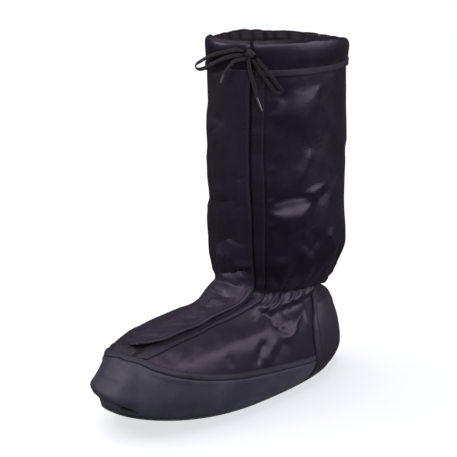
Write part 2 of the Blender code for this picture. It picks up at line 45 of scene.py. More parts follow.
# One row per girth line, in millimetres: how far the line reaches back and forward of the heel
# centre and at which height, its half widths, where it is widest, the squareness of its
# front and back, where along the foot it starts to rise toward the toe, how far its front
# turns inward and how deep the inner waist cuts in.
COLUMNS = ("back_f", "back_z", "front_f", "front_z", "lat", "med", "wide_lat", "wide_med",
           "square_front", "square_back", "flat_to", "rise_power", "toe_in", "waist")
GIRTHS = (
    ("feather",   -54.0,   2.8, 237.0,  21.0, 49.0, 47.0, 0.57, 0.64, 2.50, 2.4, 0.52, 1.8, 5.0, 6.0),
    ("welt",      -62.0,  11.0, 247.5,  31.0, 58.5, 56.0, 0.57, 0.64, 2.40, 2.3, 0.42, 1.8, 5.0, 4.0),
    ("rand",      -66.0,  26.0, 249.0,  45.0, 65.0, 60.0, 0.56, 0.62, 2.30, 2.3, 0.15, 1.5, 4.5, 2.0),
    ("toe_top",   -62.5,  48.0, 235.0,  68.0, 62.5, 57.5, 0.55, 0.60, 2.20, 2.3, 0.00, 1.0, 3.5, 0.5),
    ("vamp_low",  -54.0,  70.0, 210.0,  79.0, 57.0, 54.0, 0.54, 0.56, 2.15, 2.3, 0.00, 1.0, 2.5, 0.0),
    ("vamp_mid",  -43.0,  88.0, 160.0,  84.0, 47.0, 44.0, 0.52, 0.52, 2.10, 2.2, 0.00, 1.0, 1.2, 0.0),
    ("vamp_high", -37.0, 100.0, 113.0,  94.5, 45.0, 43.0, 0.50, 0.50, 2.10, 2.2, 0.00, 1.0, 0.0, 0.0),
    ("instep",    -38.0, 108.0,  91.0, 106.0, 47.5, 45.5, 0.50, 0.50, 2.20, 2.1, 0.00, 1.0, 0.0, 0.0),
    ("ankle",     -42.5, 117.0,  84.5, 120.0, 51.5, 53.0, 0.50, 0.50, 2.30, 2.1, 0.00, 1.0, 0.0, 0.0),
    ("shaft_low", -55.0, 140.0,  87.0, 146.0, 58.5, 60.5, 0.50, 0.50, 2.35, 2.1, 0.00, 1.0, 0.0, 0.0),
    ("shaft_mid", -61.5, 180.0,  90.0, 185.0, 61.0, 60.5, 0.50, 0.50, 2.20, 2.1, 0.00, 1.0, 0.0, 0.0),
    ("calf",      -67.0, 252.0,  97.0, 257.0, 57.0, 57.0, 0.50, 0.50, 2.00, 2.1, 0.00, 1.0, 0.0, 0.0),
    ("collar",    -65.0, 346.0,  96.0, 350.0, 55.0, 55.0, 0.50, 0.50, 2.00, 2.1, 0.00, 1.0, 0.0, 0.0),
)
TOP = float(len(GIRTHS) - 1)

WALL = 2.2            # nylon, wadding and lining together
SKIN_GAP = 0.3        # between the upper and a layer sewn on it
SKIN = 1.3            # coated fabric of rand and heel counter
TAPE = 0.9            # strip under the free edge of the flap
FLAP = 1.6            # flap over the front opening
SOLE = 2.5            # moulded sole
SOLE_GAP = 0.3
SOLE_EDGE = 2.6       # sole outside the feather line
SOLE_BEVEL = 1.0
BUTT_GAP = 0.4        # between two panels that meet edge to edge

# Edges along the girth, in millimetres of arc from the front centre line, + to the outer side.
# height row, flap inner edge, flap free edge, tape outer edge
FRONT_EDGES = (
    (0.00, -14.0, 14.0, 20.0),
    (3.30, -16.0, 16.0, 27.0),
    (4.20, -19.0, 18.0, 33.0),
    (5.00, -21.0, 20.0, 33.0),
    (5.80, -23.0, 23.0, 42.0),
    (6.60, -24.0, 26.0, 45.0),
    (7.80, -24.0, 28.5, 40.0),
    (9.30, -24.0, 29.0, 42.5),
    (10.4, -24.0, 29.5, 44.5),
    (12.0, -24.0, 31.0, 45.5),
)
TAPE_UNDER_FLAP = 5.0
FLAP_END_ROW = 4.2
FLAP_LIFT_SHAFT, FLAP_LIFT_FOOT = 1.5, 3.0

# height row of the rand's top seam by share of the half girth, outer and inner side
RAND_TOP = (
    (0.000, 3.53, 3.53), (0.060, 3.46, 3.30), (0.120, 3.15, 3.05), (0.200, 2.84, 2.82),
    (0.300, 2.63, 2.62), (0.420, 2.48, 2.48), (0.560, 2.39, 2.39), (0.700, 2.26, 2.26),
    (1.000, 2.15, 2.15),
)
# heel counter: share of the half girth of its front edge, outer and inner side, by height row
COUNTER_FRONT = (
    (0.0, 0.715, 0.620), (1.1, 0.714, 0.655), (2.2, 0.707, 0.685), (3.4, 0.708, 0.735),
    (4.5, 0.736, 0.775), (5.2, 0.752, 0.800),
)
COUNTER_TOP_ROW = 5.2

# drawcord casing over the top edge: stand-off from the upper and height above its edge
CASING_OUTER = ((1.9, -27.0), (3.4, -19.0), (3.9, -9.0), (2.6, 0.5), (-1.0, 4.4), (-4.7, 0.8), (-5.6, -9.0), (-4.4, -24.0))
CASING_INNER = ((0.4, -27.0), (1.7, -19.0), (2.2, -9.0), (1.1, 0.6), (-1.0, 2.6), (-3.0, 0.6), (-4.0, -9.0), (-2.7, -24.0))
CASING_SLIT = (31.0, 35.0)
CASING_RISE_MED = 3.0

LACE_R = 1.2
KNOT_AT = (31.5, 350.5, 8.6)       # arc from the front line, height, stand-off
KNOT_HALF = (4.3, 4.3, 3.0)
# bow: arc from the front line, height, stand-off from the upper
LOOP_MED = (
    (26.0, 352.6, 8.4), (22.0, 354.0, 8.0), (17.0, 353.4, 7.8), (7.5, 350.2, 7.4), (-0.6, 347.3, 7.4),
    (-9.0, 343.0, 8.4), (-16.0, 338.5, 10.5), (-20.5, 335.0, 13.0), (-21.0, 331.8, 14.0),
    (-16.5, 330.4, 12.8), (-11.0, 332.4, 9.8), (-4.2, 337.0, 7.6), (2.4, 341.0, 7.3), (8.0, 344.2, 7.3),
    (12.6, 346.2, 7.3), (18.0, 348.2, 7.5), (25.9, 349.2, 8.2),
)
LOOP_LAT = (
    (33.5, 345.0, 7.6), (37.3, 338.9, 7.2), (41.0, 332.6, 7.0), (45.3, 325.6, 6.6), (49.6, 319.8, 6.0),
    (53.6, 314.2, 5.6), (56.5, 311.6, 6.4), (59.3, 313.0, 8.2), (58.8, 316.0, 9.4), (55.0, 321.0, 9.6),
    (50.7, 327.7, 9.6), (45.8, 334.5, 9.6), (40.9, 340.6, 9.6), (36.9, 346.3, 9.4),
)
END_MED = ((27.7, 346.1, 7.8), (22.5, 344.6, 7.3), (18.6, 342.9, 7.2), (16.2, 340.4, 7.2), (13.2, 336.6, 7.2), (11.3, 332.8, 7.2), (9.2, 329.2, 7.2))
END_LAT = ((30.6, 344.8, 7.8), (31.0, 338.0, 7.3), (32.0, 332.5, 7.1), (33.8, 326.0, 6.8), (35.3, 320.5, 6.2), (37.0, 313.0, 5.6), (38.3, 307.7, 5.2))
AGLET_MED = ((9.1, 328.9, 7.2), (5.9, 320.4, 7.0))
AGLET_LAT = ((38.4, 307.3, 5.2), (43.4, 294.4, 4.6))
AGLET_R = 1.1

ROWS_RAND, ROWS_VAMP, ROWS_ANKLE, ROWS_SHAFT = 5, 5, 7, 8
GRID_V, GRID_U = 361, 720


def smooth_rows(table, at):
    """Cubic through evenly numbered rows."""
    table = np.asarray(table, float)
    at = np.asarray(at, float)
    n = len(table)
    k = np.clip(np.floor(at).astype(int), 0, n - 2)
    t = (at - k)[:, None]
    p1, p2 = table[k], table[k + 1]
    m1 = (p2 - table[np.maximum(k - 1, 0)]) / 2
    m2 = (table[np.minimum(k + 2, n - 1)] - p1) / 2
    return ((2 * t**3 - 3 * t**2 + 1) * p1 + (t**3 - 2 * t**2 + t) * m1
            + (3 * t**2 - 2 * t**3) * p2 + (t**3 - t**2) * m2)


def smooth_curve(table, x):
    """Monotone cubic of every column of a table over its first column."""
    table = np.asarray(table, float)
    xs, ys = table[:, 0], table[:, 1:]
    h = np.diff(xs)[:, None]
    d = np.diff(ys, axis=0) / h
    m = np.zeros_like(ys)
    m[0], m[-1] = d[0], d[-1]
    same = d[:-1] * d[1:] > 0
    m[1:-1] = np.where(same, 2 * d[:-1] * d[1:] / np.where(same, d[:-1] + d[1:], 1.0), 0.0)
    x = np.clip(np.atleast_1d(np.asarray(x, float)), xs[0], xs[-1])
    k = np.clip(np.searchsorted(xs, x, side="right") - 1, 0, len(xs) - 2)
    hk = h[k]
    t = ((x - xs[k]) / hk[:, 0])[:, None]
    return ((2 * t**3 - 3 * t**2 + 1) * ys[k] + (t**3 - 2 * t**2 + t) * hk * m[k]
            + (3 * t**2 - 2 * t**3) * ys[k + 1] + (t**3 - t**2) * hk * m[k + 1])


class Upper:
    """Outer face of the upper: row v (0 feather .. TOP collar), u = share of the girth,
    0 at the front line, + on the outer side, +-0.5 at the back line."""

    def __init__(self):
        self.v = np.linspace(0.0, TOP, GRID_V)
        row = smooth_rows([g[1:] for g in GIRTHS], self.v)
        phi = np.linspace(-math.pi, math.pi, 1441)
        c, s = np.cos(phi)[None, :], np.sin(phi)[None, :]
        (bf, bz, ff, fz, lat, med, wl, wm, nf, nb, t0, power, toe_in, waist) = [row[:, i:i + 1] for i in range(len(COLUMNS))]
        wide, half = np.where(s >= 0, wl, wm), np.where(s >= 0, lat, med)
        mid = bf + (ff - bf) * wide
        n = np.where(c >= 0, nf, nb)
        cc, ss = np.abs(c) ** (2 / n), np.abs(s) ** (2 / n)
        f = np.where(c >= 0, mid + (ff - mid) * cc, mid - (mid - bf) * cc)
        t = np.clip((f - bf) / (ff - bf), 0, 1)
        half = half - np.where(s < 0, waist, 0.0) * np.exp(-((t - 0.42) / 0.14) ** 2)
        x = np.sign(s) * half * ss - toe_in * t ** 3
        z = bz + (fz - bz) * (np.maximum(t - t0, 0) / (1 - t0)) ** power
        raw = np.stack([x, -f, z], -1)
        self.P = np.zeros((GRID_V, GRID_U + 1, 3))
        self.half = np.zeros((GRID_V, 2))
        m, h = GRID_U // 2, 720
        for i in range(GRID_V):
            for side, (a, b, lo, hi) in enumerate(((0, h, 0, m), (h, 2 * h, m, GRID_U))):
                q = raw[i, a:b + 1]
                arc = np.concatenate([[0.0], np.cumsum(np.linalg.norm(np.diff(q, axis=0), axis=1))])
                want = np.linspace(0, arc[-1], hi - lo + 1)
                for k in range(3):
                    self.P[i, lo:hi + 1, k] = np.interp(want, arc, q[:, k])
                self.half[i, side] = arc[-1]
        dv = np.gradient(self.P, axis=0)
        wrap = np.concatenate([self.P[:, -2:-1], self.P, self.P[:, 1:2]], axis=1)
        du = wrap[:, 2:] - wrap[:, :-2]
        n = np.cross(du, dv)
        self.N = n / np.linalg.norm(n, axis=2, keepdims=True)

    def sample(self, grid, u, v):
        u, v = np.asarray(u, float), np.asarray(v, float)
        x = (np.mod(u + 0.5, 1.0)) * GRID_U
        y = np.clip(v / TOP, 0, 1) * (GRID_V - 1)
        i = np.clip(np.floor(y).astype(int), 0, GRID_V - 2)
        j = np.clip(np.floor(x).astype(int), 0, GRID_U - 1)
        a, b = (y - i)[..., None], (x - j)[..., None]
        return ((grid[i, j] * (1 - b) + grid[i, j + 1] * b) * (1 - a)
                + (grid[i + 1, j] * (1 - b) + grid[i + 1, j + 1] * b) * a)

    def at(self, u, v, off=0.0):
        n = self.sample(self.N, u, v)
        n = n / np.linalg.norm(n, axis=-1, keepdims=True)
        return self.sample(self.P, u, v) + n * np.asarray(off, float)[..., None]

    def girth(self, v, side):
        y = np.clip(np.asarray(v, float) / TOP, 0, 1) * (GRID_V - 1)
        return np.interp(y, np.arange(GRID_V), self.half[:, 1 if side > 0 else 0])

    def u_of(self, arc, v):
        arc = np.asarray(arc, float)
        return np.where(arc >= 0, 0.5 * arc / self.girth(v, 1), 0.5 * arc / self.girth(v, -1))

    def v_at(self, u, z):
        """Row at which the column u is at the height z (shaft only)."""
        rows = np.linspace(7.0, TOP, 301)
        heights = self.sample(self.P, np.full(301, u), rows)[:, 2]
        return float(np.interp(z, heights, rows))

    def point(self, arc, z, off):
        v = TOP
        for _ in range(4):
            u = float(self.u_of(arc, v))
            v = self.v_at(u, z)
        p = self.at(np.array(u), np.array(v), np.array(off))
        top = self.sample(self.P, np.array(u), np.array(TOP))[2]
        if z > top:
            p[2] += z - top
        return p


S = Upper()


def rand_top(u):
    s = np.clip(np.abs(u) * 2, 0, 1)
    both = smooth_curve(RAND_TOP, s.ravel())
    return np.where(u >= 0, both[:, 0].reshape(s.shape), both[:, 1].reshape(s.shape))


def front_edge(v, k):
    return smooth_curve(FRONT_EDGES, np.ravel(v))[:, k].reshape(np.shape(v))


def counter_front(v, side):
    return 0.5 * smooth_curve(COUNTER_FRONT, np.ravel(v))[:, 0 if side > 0 else 1].reshape(np.shape(v))


def sole_top(u):
    """Height of the sole's upper face at the feather line."""
    return S.sample(S.P, u, np.zeros(np.shape(u)))[..., 2] - SOLE_GAP


# ---- camera, light and finish values ----
CAM_AT = (1.0056, -1.1035, 0.5910)
CAM_TO = (0.0035, -0.0885, 0.1720)
CAM_LENS = 118.0
EXPOSURE = 0.0
FLOOR_Z = -0.0006
FLOOR_COLOUR = (0.86, 0.87, 0.90)
FLOOR_ROUGH = (0.28, 0.36)
FLOOR_GLOW = 0.72
WORLD_COLOUR = (0.93, 0.94, 1.0, 1.0)
WORLD_STRENGTH = 0.07
# broad soft light over everything: direction it comes from, strength, angle in degrees
SKY_FROM, SKY_POWER, SKY_ANGLE = (-0.40, -0.10, 1.0), 1.50, 75.0
# softboxes on the boot: name, place, aimed at, size, watts, colour
LIGHTS = (
    ("key_front", (-1.00, -1.45, 1.12), (0.0, -0.08, 0.17), (0.95, 0.85), 38.0, (0.97, 0.89, 1.0)),
    ("key_side", (1.50, -0.55, 1.22), (0.0, -0.08, 0.17), (1.9, 0.75), 47.0, (0.97, 0.89, 1.0)),
    ("key_back", (1.38, 1.04, 0.86), (0.0, -0.06, 0.10), (1.25, 1.20), 31.0, (0.97, 0.89, 1.0)),
    ("top", (0.35, -0.50, 1.85), (0.0, -0.10, 0.10), (0.8, 0.8), 13.0, (0.97, 0.90, 1.0)),
)
FOLD_GAIN = 1.3
NYLON_DARK, NYLON_LIGHT = (0.0024, 0.0015, 0.0031), (0.0050, 0.0033, 0.0064)
NYLON_ROUGH, NYLON_SHEEN = (0.34, 0.43), 0.012
NYLON_SPEC = 0.23
COAT_DARK, COAT_MID, COAT_LIGHT = (0.0118, 0.0118, 0.0180), (0.0180, 0.0177, 0.0264), (0.0260, 0.0256, 0.0375)
COAT_ROUGH = (0.50, 0.62)
STRIP_DARK, STRIP_LIGHT = (0.0045, 0.0032, 0.0058), (0.0088, 0.0064, 0.0108)
LACE_DARK, LACE_LIGHT = (0.0052, 0.0045, 0.0056), (0.0130, 0.0116, 0.0140)
BIND_DARK, BIND_LIGHT = (0.0062, 0.0052, 0.0074), (0.0130, 0.0108, 0.0150)

# ---- folds of the cloth: points (arc from the front line in mm, height row), depth in mm (+ ridge,
# - trough), half width below it and above it ----
FOLDS = (
    # short creases before the end of the flap
    (((-46, 3.58), (-17.5, 3.97), (-6, 4.06)), -1.7, 3.2),
    (((-42, 3.28), (-22, 3.58), (-8, 3.74)), 1.3, 3.2),
    (((-52, 3.92), (-30, 4.22), (-13, 4.50)), 1.4, 3.4),
    (((-6, 3.66), (4, 3.42), (15, 3.22)), -1.4, 2.8),
    (((-4, 3.98), (8, 3.76), (21, 3.50)), 1.2, 3.0),
    # outer side of the shaft, from the top down
    (((48.5, 11.62), (60, 11.52), (69, 11.44)), -0.9, 5.0, 5.0),
    (((99, 10.98), (88, 10.72), (76, 10.47)), 1.2, 6.0),
    (((45, 10.25), (58, 10.30), (76, 10.345), (98, 10.33)), -1.3, 4.0, 5.0),
    (((128, 10.42), (113, 10.31), (105, 10.16), (99, 9.82), (97, 9.44), (99, 9.02)), -2.6, 6.0, 7.0),
    (((116, 9.64), (126, 9.28), (134, 8.86)), 1.4, 8.0),
    (((80, 9.65), (90, 9.30), (96, 9.10), (103, 9.33), (115, 9.65)), -1.8, 7.0),
    (((87, 9.07), (77, 8.60), (66, 7.75)), -2.0, 7.0, 6.0),
    (((62, 9.10), (60, 8.60), (60, 8.00)), 1.4, 9.0),
    (((140, 8.30), (130, 7.50), (110, 6.95)), 1.9, 8.0),
    (((118, 8.60), (104, 7.75), (92, 7.05)), -1.5, 7.0),
    (((150, 9.60), (140, 9.00), (138, 8.50)), -1.3, 8.0),
    # flap on the shaft
    (((-20, 9.05), (-7, 9.33), (6, 9.47), (17, 9.40), (28, 9.33)), -1.7, 6.0, 8.0),
    (((-15, 8.85), (-8, 8.83), (-1, 8.85)), 1.4, 5.0),
    (((0, 8.90), (6, 8.95)), 0.9, 4.0),
    (((9, 8.57), (18, 8.67), (28, 8.78)), 1.8, 5.0, 4.0),
    (((-18, 8.00), (0, 8.17), (15, 8.40), (29, 8.62)), -3.0, 5.0, 6.0),
    (((-18, 10.18), (-5, 10.22), (8, 10.28), (24, 10.35)), -1.2, 6.0, 6.0),
    (((-16, 10.34), (-5, 10.36), (8, 10.43)), 0.8, 6.0, 8.0),
    (((-20, 11.30), (-6, 11.28), (10, 11.24)), -0.8, 7.0, 8.0),
    # flap over the instep and foot
    (((-19, 7.08), (-4, 7.08), (9, 7.02)), 1.4, 4.0),
    (((-21, 7.45), (-6, 7.52), (12, 7.50), (24, 7.42)), -1.5, 5.0),
    (((-22, 6.70), (-8, 6.72), (8, 6.66), (20, 6.70)), -1.6, 4.0),
    (((-6, 6.28), (6, 6.22), (17, 6.18)), 1.9, 4.0),
    (((-20, 6.00), (-4, 5.96), (12, 5.95)), -1.3, 3.5),
    (((-14, 5.72), (2, 5.66), (15, 5.64)), 1.3, 4.0),
    (((-17, 5.30), (0, 5.36), (17, 5.45)), -1.3, 4.0),
    (((-13, 5.02), (4, 5.06), (14, 5.10)), 1.2, 4.0),
    (((-14, 4.72), (2, 4.72), (15, 4.80)), -1.2, 4.0),
    (((-12, 4.42), (0, 4.44), (11, 4.50)), 1.1, 4.0),
    # outer side of the foot
    (((50, 5.92), (69, 5.60), (97, 5.19), (140, 4.48), (173, 3.89)), -2.6, 5.0, 5.5),
    (((175, 3.72), (190, 3.44), (199, 3.43), (198, 3.72), (188, 4.11), (183, 4.41), (172, 4.76)), 1.7, 3.6, 3.6),
    (((135, 4.62), (172, 3.96), (190, 3.62)), -2.0, 4.5),
    (((62, 6.80), (91, 5.76), (147, 4.67), (170, 4.26)), -1.5, 4.6),
    (((118, 5.62), (137, 5.11), (160, 4.56)), -0.9, 4.5),
    (((158, 3.64), (162, 3.14), (165, 2.74), (167, 2.52)), -2.2, 6.0, 3.5),
    (((181, 3.56), (177, 3.08), (173, 2.69), (171, 2.48)), 1.5, 6.0, 9.0),
    (((196, 3.40), (192, 2.95), (188, 2.50)), -1.4, 8.0),
    (((140, 5.31), (200, 4.22), (237, 3.30)), 1.3, 4.0),
    (((165, 5.30), (212, 4.35), (247, 3.10)), -1.3, 4.0),
    (((200, 4.90), (232, 3.94), (252, 2.90), (262, 2.20)), -2.3, 4.5, 6.0),
    (((48, 6.15), (72, 5.74), (97, 5.42)), 1.0, 3.5),
    (((52, 7.00), (50, 6.47), (47, 6.15)), -1.4, 4.0),
    (((80, 4.05), (95, 3.98), (114, 4.20)), 1.0, 22.0),
    (((110, 3.30), (122, 3.00), (128, 2.70)), -0.7, 5.0),
    (((52, 4.25), (66, 3.70), (74, 3.10)), -0.8, 6.0),
    (((36, 3.90), (44, 3.60), (60, 3.20)), -1.0, 5.0),
    # shaft, just over the elastic
    (((50, 8.42), (52, 7.93), (57, 7.41)), -2.0, 4.0),
    (((67, 8.19), (65, 7.72), (67, 7.27)), -1.8, 4.0),
    # heel
    (((268, 5.15), (272, 4.5), (268, 3.7)), 1.2, 5.0),
    (((286, 5.2), (292, 4.5), (304, 3.8)), -1.6, 5.0),
    (((306, 5.2), (303, 4.6), (290, 4.0), (284, 3.4)), 1.3, 5.0),
    (((322, 5.1), (318, 4.3), (326, 3.5)), -1.3, 6.0),
    (((300, 4.60), (325, 4.35), (345, 4.30)), -1.6, 6.0),
    (((262, 4.80), (290, 3.90), (312, 3.10)), -1.2, 6.0),
    # inner side
    (((-45, 10.20), (-75, 10.05), (-110, 10.15), (-140, 10.30)), 1.8, 9.0, 6.0),
    (((-50, 10.45), (-85, 10.38), (-125, 10.55)), -1.8, 6.0, 8.0),
    (((-36, 11.42), (-60, 11.40), (-85, 11.50)), -1.4, 6.0),
    (((-40, 11.15), (-70, 11.12), (-105, 11.25)), 1.2, 8.0),
    (((-70, 9.60), (-88, 9.10), (-110, 8.40)), -1.8, 7.0),
    (((-45, 9.10), (-60, 8.40), (-72, 7.70)), -1.6, 6.0),
    (((-130, 9.20), (-118, 8.30), (-104, 7.40)), 1.4, 8.0),
    (((-55, 5.90), (-95, 5.20), (-135, 4.60)), -1.8, 6.0),
    (((-75, 5.45), (-120, 4.70), (-165, 3.90)), 1.5, 6.0),
    (((-60, 6.60), (-70, 5.70), (-74, 4.80)), -1.4, 5.0),
    (((-110, 6.10), (-130, 5.10), (-140, 3.90)), 1.3, 6.0),
    (((-150, 5.60), (-170, 4.60), (-182, 3.40)), -1.6, 6.0),
    (((-35, 5.10), (-60, 4.30), (-80, 3.40)), -1.2, 6.0),
    (((-190, 4.90), (-215, 4.20), (-235, 3.20)), -1.7, 7.0),
    # back of the shaft
    (((170, 8.70), (190, 8.35), (212, 8.45)), -1.4, 8.0),
    (((165, 10.9), (188, 10.75), (212, 10.9)), -1.0, 9.0),
)
# elastic: share of the half girth, height row on the outer and on the inner side
ELASTIC = (
    (0.00, 0.20, 0.26, 0.31, 0.36, 0.41, 0.49, 0.56, 0.68, 0.76, 0.85, 0.93, 1.00),
    (7.45, 7.18, 7.08, 6.94, 6.82, 6.70, 6.60, 6.50, 6.20, 5.95, 5.66, 5.34, 5.26),
    (7.55, 7.42, 7.28, 7.08, 6.92, 6.82, 6.66, 6.50, 6.24, 6.00, 5.70, 5.40, 5.26),
)
# arc, row, reach in mm, reach in rows, millimetres in or out
BODY_SHIFTS = (
    (-60.0, 5.55, 36.0, 0.50, -2.6),
    (-34.0, 5.70, 20.0, 0.45, -1.2),
)
SCALLOP = ((8.0, 8.6, 9.2, 9.75, 10.0, 10.15, 10.3, 10.5, 10.75, 10.95, 11.15, 11.3, 11.4, 11.5, 11.65, 11.8),
           (0.0, 0.6, -0.2, 0.9, 0.3, -1.5, -1.3, 0.5, 0.8, -0.2, 1.2, 0.3, -1.9, -1.0, 0.6, 0.0))
GUSSET_MED = ((-186, 11.70), (-185, 11.2), (-172, 10.80), (-155, 10.38), (-137, 10.02), (-128, 9.33), (-125, 8.2), (-124, 6.6))
GUSSET_LAT = ((188, 11.70), (186, 11.2), (176, 10.80), (160, 10.38), (146, 10.02), (139, 9.33), (137, 8.2), (134, 6.5))
# rand: lip of the fold under the toe, hollow below it, bulge over it
RAND_FOLDS = (
    (((-34, 1.72), (-18, 1.74), (-3, 1.57), (13, 1.42), (25.5, 1.28), (35, 1.00)), -3.0, 3.2, 1.2, 0.12, 1.2),
    (((-36, 2.02), (-18, 2.00), (-3, 1.84), (13, 1.70), (27, 1.58), (38, 1.30)), 1.7, 3.0, 6.0, 0.2),
    (((20, 1.04), (29, 0.97), (36, 0.86)), -1.0, 1.6, 1.2, 0.2, 1.4),
    (((-16, 0.95), (0, 0.90), (14, 0.95), (27, 0.85)), 1.0, 4.0, 4.0),
    (((31, 3.20), (31, 2.85), (32, 2.50), (34, 2.10), (38, 1.60), (41, 1.00)), 2.0, 12.0, 7.0),
    (((14, 3.20), (10, 2.75), (8, 2.40), (16, 1.95)), -1.7, 11.0),
    (((62, 2.80), (74, 2.20), (88, 1.40)), -0.9, 14.0),
    (((112, 2.30), (150, 1.70), (190, 1.35)), 0.7, 9.0),
    (((-60, 2.60), (-74, 2.00), (-90, 1.30)), -1.0, 8.0),
    (((-110, 2.30), (-150, 1.60), (-190, 1.30)), 0.8, 9.0),
    (((205, 2.20), (214, 1.50), (220, 0.80)), -0.7, 6.0),
)
# lines of painted shade along the lip of the fold under the toe
RAND_LINES = (
    ((-34, 1.72), (-18, 1.74), (-3, 1.57), (13, 1.42), (25.5, 1.28), (35, 1.00)),
    ((20, 1.04), (29, 0.97), (36, 0.86)),
)
# ledges that catch the light: points, half width in mm, slope
LEDGES = (
    (((47, 10.165), (57, 10.135), (69, 10.145), (79, 10.165), (88, 10.20), (98, 10.24)), 7.3, 0.235),
    (((83, 10.40), (97, 10.44), (110, 10.47), (120, 10.49)), 3.8, 0.22),
    (((44, 10.335), (50, 10.34), (57, 10.36)), 2.2, 0.22),
    (((44, 9.87), (50, 9.93), (58, 10.04)), 2.0, 0.22),
    (((84, 9.66), (90, 9.65), (97, 9.63)), 2.6, 0.18),
    (((48, 11.33), (62, 11.38), (77, 11.45), (94, 11.505), (112, 11.58)), 11.5, 0.10),
)
# outline seen from the camera: row, arc of the outline, millimetres off the loft
BACK_LINE = (
    (4.20, 262, 0.0), (4.40, 257, 0.8), (4.80, 230, -3.2), (5.15, 208, -9.6), (5.35, 196, -8.0), (5.80, 176, -2.6), (6.20, 156, 2.4),
    (6.70, 148, 6.7), (7.15, 142, 4.6), (8.25, 147, 7.2), (8.70, 156, 6.7), (9.00, 161, 6.9), (9.40, 168, 5.6),
)
TOE_LINE = (
    (0.0, -3.0), (0.3, -4.4), (0.6, -6.0), (0.9, -5.8), (1.2, -4.0), (1.5, -1.7), (1.65, -1.2), (1.8, -1.0), (2.0, -1.5), (2.1, -2.0), (2.4, -3.8), (2.7, -3.6),
    (3.0, -1.6), (3.3, 0.6), (3.6, 0.6),
)


# ---- materials ----
class Nodes:
    def __init__(self, name):
        self.mat = bpy.data.materials.new(name)
        self.mat.use_nodes = True
        self.tree = self.mat.node_tree
        self.bsdf = self.tree.nodes["Principled BSDF"]
        self.bump_out = None

    def add(self, kind, **props):
        node = self.tree.nodes.new(kind)
        for key, value in props.items():
            setattr(node, key, value)
        return node

    def link(self, a, b):
        self.tree.links.new(a, b)

    def coords(self, which="UV", scale=(1.0, 1.0, 1.0), turn=0.0):
        src = self.add("ShaderNodeTexCoord")
        mapping = self.add("ShaderNodeMapping")
        mapping.inputs["Scale"].default_value = scale
        mapping.inputs["Rotation"].default_value = (0.0, 0.0, turn)
        self.link(src.outputs[which], mapping.inputs["Vector"])
        return mapping.outputs["Vector"]

    def noise(self, vector, scale, detail=3.0, rough=0.55, distortion=0.0):
        n = self.add("ShaderNodeTexNoise")
        n.inputs["Scale"].default_value = scale
        n.inputs["Detail"].default_value = detail
        n.inputs["Roughness"].default_value = rough
        n.inputs["Distortion"].default_value = distortion
        self.link(vector, n.inputs["Vector"])
        return n.outputs["Fac"]

    def wave(self, vector, scale, direction="X", distortion=0.0, profile="SIN"):
        n = self.add("ShaderNodeTexWave", wave_type="BANDS", bands_direction=direction, wave_profile=profile)
        n.inputs["Scale"].default_value = scale
        n.inputs["Distortion"].default_value = distortion
        n.inputs["Detail"].default_value = 1.0
        n.inputs["Detail Scale"].default_value = 1.5
        self.link(vector, n.inputs["Vector"])
        return n.outputs["Fac"]

    def ramp(self, fac, stops):
        n = self.add("ShaderNodeValToRGB")
        while len(n.color_ramp.elements) < len(stops):
            n.color_ramp.elements.new(0.5)
        for e, (pos, colour) in zip(n.color_ramp.elements, stops):
            e.position = pos
            e.color = (*colour, 1.0) if len(colour) == 3 else colour
        self.link(fac, n.inputs["Fac"])
        return n.outputs["Color"]

    def range(self, fac, a, b, low, high):
        n = self.add("ShaderNodeMapRange")
        n.inputs["From Min"].default_value, n.inputs["From Max"].default_value = a, b
        n.inputs["To Min"].default_value, n.inputs["To Max"].default_value = low, high
        self.link(fac, n.inputs["Value"])
        return n.outputs["Result"]

    def math(self, op, a, b):
        n = self.add("ShaderNodeMath", operation=op)
        for k, x in enumerate((a, b)):
            if isinstance(x, (int, float)):
                n.inputs[k].default_value = x
            else:
                self.link(x, n.inputs[k])
        return n.outputs["Value"]

    def mix(self, fac, a, b, blend="MIX"):
        n = self.add("ShaderNodeMix", data_type="RGBA", blend_type=blend)
        for socket, x in ((n.inputs[0], fac), (n.inputs[6], a), (n.inputs[7], b)):
            if isinstance(x, (int, float)):
                socket.default_value = x
            elif isinstance(x, tuple):
                socket.default_value = (*x, 1.0)
            else:
                self.link(x, socket)
        return n.outputs[2]

    def bump(self, height, strength, distance):
        n = self.add("ShaderNodeBump")
        n.inputs["Strength"].default_value = strength
        n.inputs["Distance"].default_value = distance
        self.link(height, n.inputs["Height"])
        if self.bump_out is not None:
            self.link(self.bump_out, n.inputs["Normal"])
        self.bump_out = n.outputs["Normal"]
        return self.bump_out

    def set(self, **values):
        for key, value in values.items():
            socket = self.bsdf.inputs[key.replace("_", " ")]
            if isinstance(value, tuple) and len(value) == 3 and socket.type == "RGBA":
                value = (*value, 1.0)
            socket.default_value = value

    def done(self, colour=None, rough=None, seams_and_shade=False):
        if seams_and_shade:
            # seam lines, and painted shade on shadowed edges, creases and gaps, marked on the mesh: there the colour
            # goes towards near black
            mark = self.add("ShaderNodeAttribute", attribute_name="shade", attribute_type="GEOMETRY")
            colour = self.mix(mark.outputs["Fac"], colour, (0.0012, 0.0009, 0.0014))
            rough = self.math("ADD", rough, self.math("MULTIPLY", mark.outputs["Fac"], 0.3))
        if colour is not None:
            self.link(colour, self.bsdf.inputs["Base Color"])
        if rough is not None:
            self.link(rough, self.bsdf.inputs["Roughness"])
        if self.bump_out is not None:
            self.link(self.bump_out, self.bsdf.inputs["Normal"])
        return self.mat


